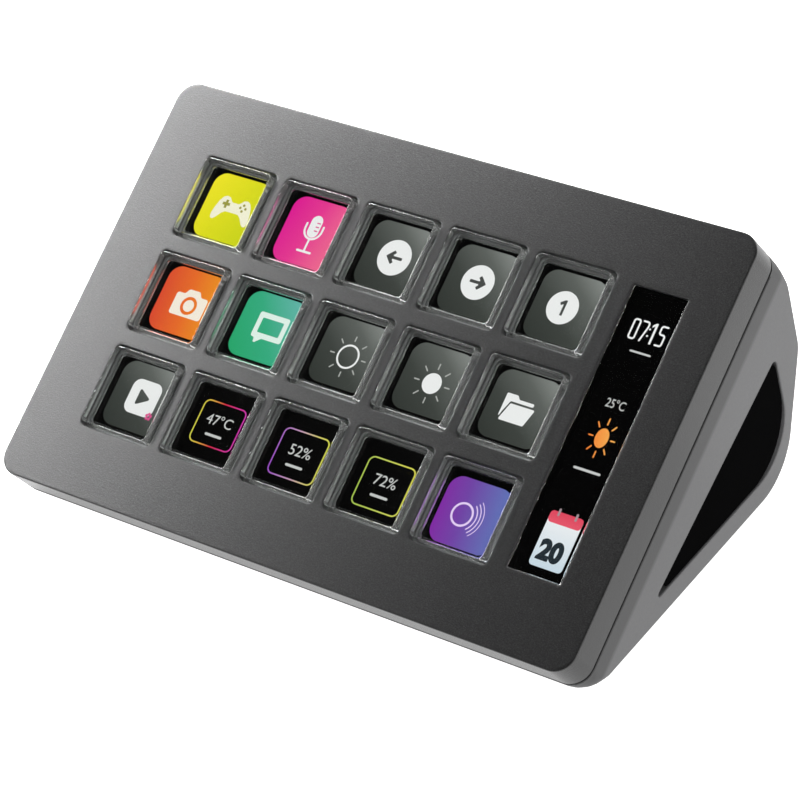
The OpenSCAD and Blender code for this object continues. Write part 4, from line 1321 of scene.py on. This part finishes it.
def motif():
    """A plain motif: a ring with open arcs beside it."""
    x, y = 32.4, 21.1
    s = Shape()
    plate(s, disc(2.3, x - 0.5, y, 48), T1, T2, [disc(1.9, x - 0.5, y, 48)])
    for k, (rad, w) in enumerate(((3.0, 0.22), (3.7, 0.18), (4.35, 0.14))):
        arc = [(x - 0.5 + rad * math.cos(math.radians(q)), y + rad * math.sin(math.radians(q))) for q in range(-50, 51, 6)]
        stroke(s, arc, w, T1, T2)
    picture("sign_rings", s, PURPLEMARK)


motif()

# the strip: figures, a sun and a day leaf
SX = 50.98
sh = Shape()
W = 0.34
GH, GW = 4.0, 1.55


def glyph(ch, x, y):
    """A square-cut figure drawn as lines, in a box GW by GH centred on (x, y)."""
    h, w = GH / 2 - W / 2, GW / 2 - W / 2
    r = 0.42
    if ch == "0":
        stroke(sh, fillet_path(shifted([(-w, -h), (w, -h), (w, h), (-w, h)], x, y), r, closed=True), W, T0, T1, closed=True)
    elif ch == "7":
        stroke(sh, fillet_path(shifted([(-w, h), (w, h), (w, h - 0.9), (-w * 0.1, -h)], x, y), r), W, T0, T1)
    elif ch == "1":
        H = GH / 2
        plate(sh, shifted([(-0.05, -H), (0.37, -H), (0.37, H), (0.0, H), (-0.6, H - 0.5), (-0.6, H - 0.95), (-0.05, H - 0.55)], x, y), T0, T1)
    elif ch == "5":
        stroke(sh, fillet_path(shifted([(w, h), (-w, h), (-w, 0.25), (w, 0.25), (w, -h), (-w, -h)], x, y), r), W, T0, T1)


CLOCK_A = 62.6
for ch, dx in (("0", -3.1), ("7", -1.25), ("1", 0.7), ("5", 2.55)):
    glyph(ch, SX + dx, CLOCK_A)
for dy in (0.65, -0.65):
    plate(sh, disc(0.19, SX - 0.17, CLOCK_A + dy, 14), T0, T1)
picture("strip_clock", sh, WHITE)
sh = Shape()
stroke(sh, [(SX - 2.0, 58.6), (SX + 2.0, 58.6)], 0.36, T0, T1)
stroke(sh, [(SX - 2.6, 35.65), (SX + 2.6, 35.65)], 0.45, T0, T1)
picture("strip_bars", sh, PALE)
letters("strip_degrees", "25°C", SX - 0.2, 48.55, 1.75, T0, T1, PALE, 0.82, 0.0)
M_SUN = glow("glow_orange", [(0.0, (250, 120, 40)), (1.0, (255, 190, 96))], (1, 0.3), (SX, 42), 8)
sh = Shape()
FX = 0.72
plate(sh, [(SX + (x - SX) * FX, y) for x, y in disc(1.85, SX, 42.0, 44)], T0, T1)
for i in range(8):
    q = 2 * math.pi * i / 8
    stroke(sh, [(SX + k * FX * math.cos(q), 42.0 + k * math.sin(q)) for k in (2.6, 3.7)], 0.27, T0, T1)
picture("strip_sun", sh, M_SUN)
CX, CY = 51.25, 22.05
sh = Shape()
plate(sh, rr(6.9, 10.4, 0.8, CX, CY, 8), T0, T1)
picture("strip_leaf", sh, glow("glow_leaf", [(0.0, (206, 224, 234)), (1.0, (250, 251, 252))], (0, 1), (CX, CY), 10))
sh = Shape()
top = [(-3.45, 3.0), (3.45, 3.0), (3.45, 5.2), (-3.45, 5.2)]
plate(sh, fillet_path(shifted(top, CX, CY), 0.7, closed=True, n=5), T1, T2)
picture("strip_leaf_head", sh, glow("glow_red", [(0.0, (240, 96, 116)), (1.0, (228, 70, 94))], (0, 1), (CX, CY + 4.1), 3))
sh = Shape()
for dx in (-1.8, 1.8):
    stroke(sh, [(CX + dx, CY + 4.6), (CX + dx, CY + 5.6)], 0.45, T2, T3)
picture("strip_leaf_rings", sh, glow("glow_ring", [(0.0, (150, 130, 136)), (1.0, (170, 150, 156))], span=60))
letters("strip_day", "20", CX - 0.2, 20.1, 4.1, T1, T2, glow("glow_ink", [(0.0, (30, 38, 44)), (1.0, (40, 50, 56))], span=60), 0.95, 0.06)

# ------------------------------------------------------------------ stage
me = bpy.data.meshes.new("floor")
bm = bmesh.new()
bmesh.ops.create_grid(bm, x_segments=8, y_segments=8, size=3.0)
bm.to_mesh(me)
bm.free()
floor = bpy.data.objects.new("floor", me)
bpy.context.scene.collection.objects.link(floor)
mf, nt, out = nodes_of("floor_paper")
b = nt.nodes.new("ShaderNodeBsdfPrincipled")
put(b, "Base Color", (0.5, 0.5, 0.5, 1)); put(b, "Roughness", 0.75); put(b, "Specular IOR Level", 0.2)
put(b, "Emission Color", (1, 1, 1, 1)); put(b, "Emission Strength", 1.12)
nt.links.new(b.outputs[0], out.inputs["Surface"])
me.materials.append(mf)


def area_light(name, at, to, size, power, color=(1, 1, 1), spread=180.0):
    d = bpy.data.lights.new(name, "AREA")
    d.shape = "RECTANGLE"
    d.size, d.size_y = size
    d.energy = power
    d.color = color
    d.spread = math.radians(spread)
    ob = bpy.data.objects.new(name, d)
    bpy.context.scene.collection.objects.link(ob)
    ob.location = at
    v = Vector(to) - Vector(at)
    ob.rotation_euler = v.to_track_quat("-Z", "Y").to_euler()
    return ob


area_light("soft_left", (-0.2057, 0.0024, 0.1786), (-0.09, -0.04, 0.03), (0.355, 0.036), 1.2)
area_light("soft_back", (-0.1133, 0.0677, 0.1653), (0.0, 0.0, 0.03), (0.109, 0.109), 0.29)
area_light("soft_right", (0.95, -0.1, 0.2), (0.0, 0.0, 0.02), (0.8, 0.6), 6.0)
area_light("soft_top", (0.25, 0.5, 0.9), (0.0, 0.0, 0.0), (0.7, 0.7), 3.0)
area_light("soft_front", (-0.27, -0.39, 0.18), (0.0, 0.0, 0.03), (0.4, 0.2), 0.07)

world = bpy.data.worlds.new("studio")
bpy.context.scene.world = world
world.use_nodes = True
bg = world.node_tree.nodes["Background"]
bg.inputs[0].default_value = (1, 1, 1, 1)
bg.inputs[1].default_value = 0.02

cam = bpy.data.cameras.new("camera")
cam.sensor_width = 36.0
cam.lens = 158.347
cam.clip_start, cam.clip_end = 0.05, 20.0
cam.shift_y = -0.0015
co = bpy.data.objects.new("camera", cam)
bpy.context.scene.collection.objects.link(co)
co.matrix_world = Matrix((
    (0.795136, -0.257954, 0.548834, 0.356998),
    (0.584918, 0.565146, -0.581791, -0.374593),
    (-0.160096, 0.783626, 0.600250, 0.407297),
    (0, 0, 0, 1)))
bpy.context.scene.camera = co
bpy.context.scene.view_settings.view_transform = "Standard"
bpy.context.scene.view_settings.look = "None"
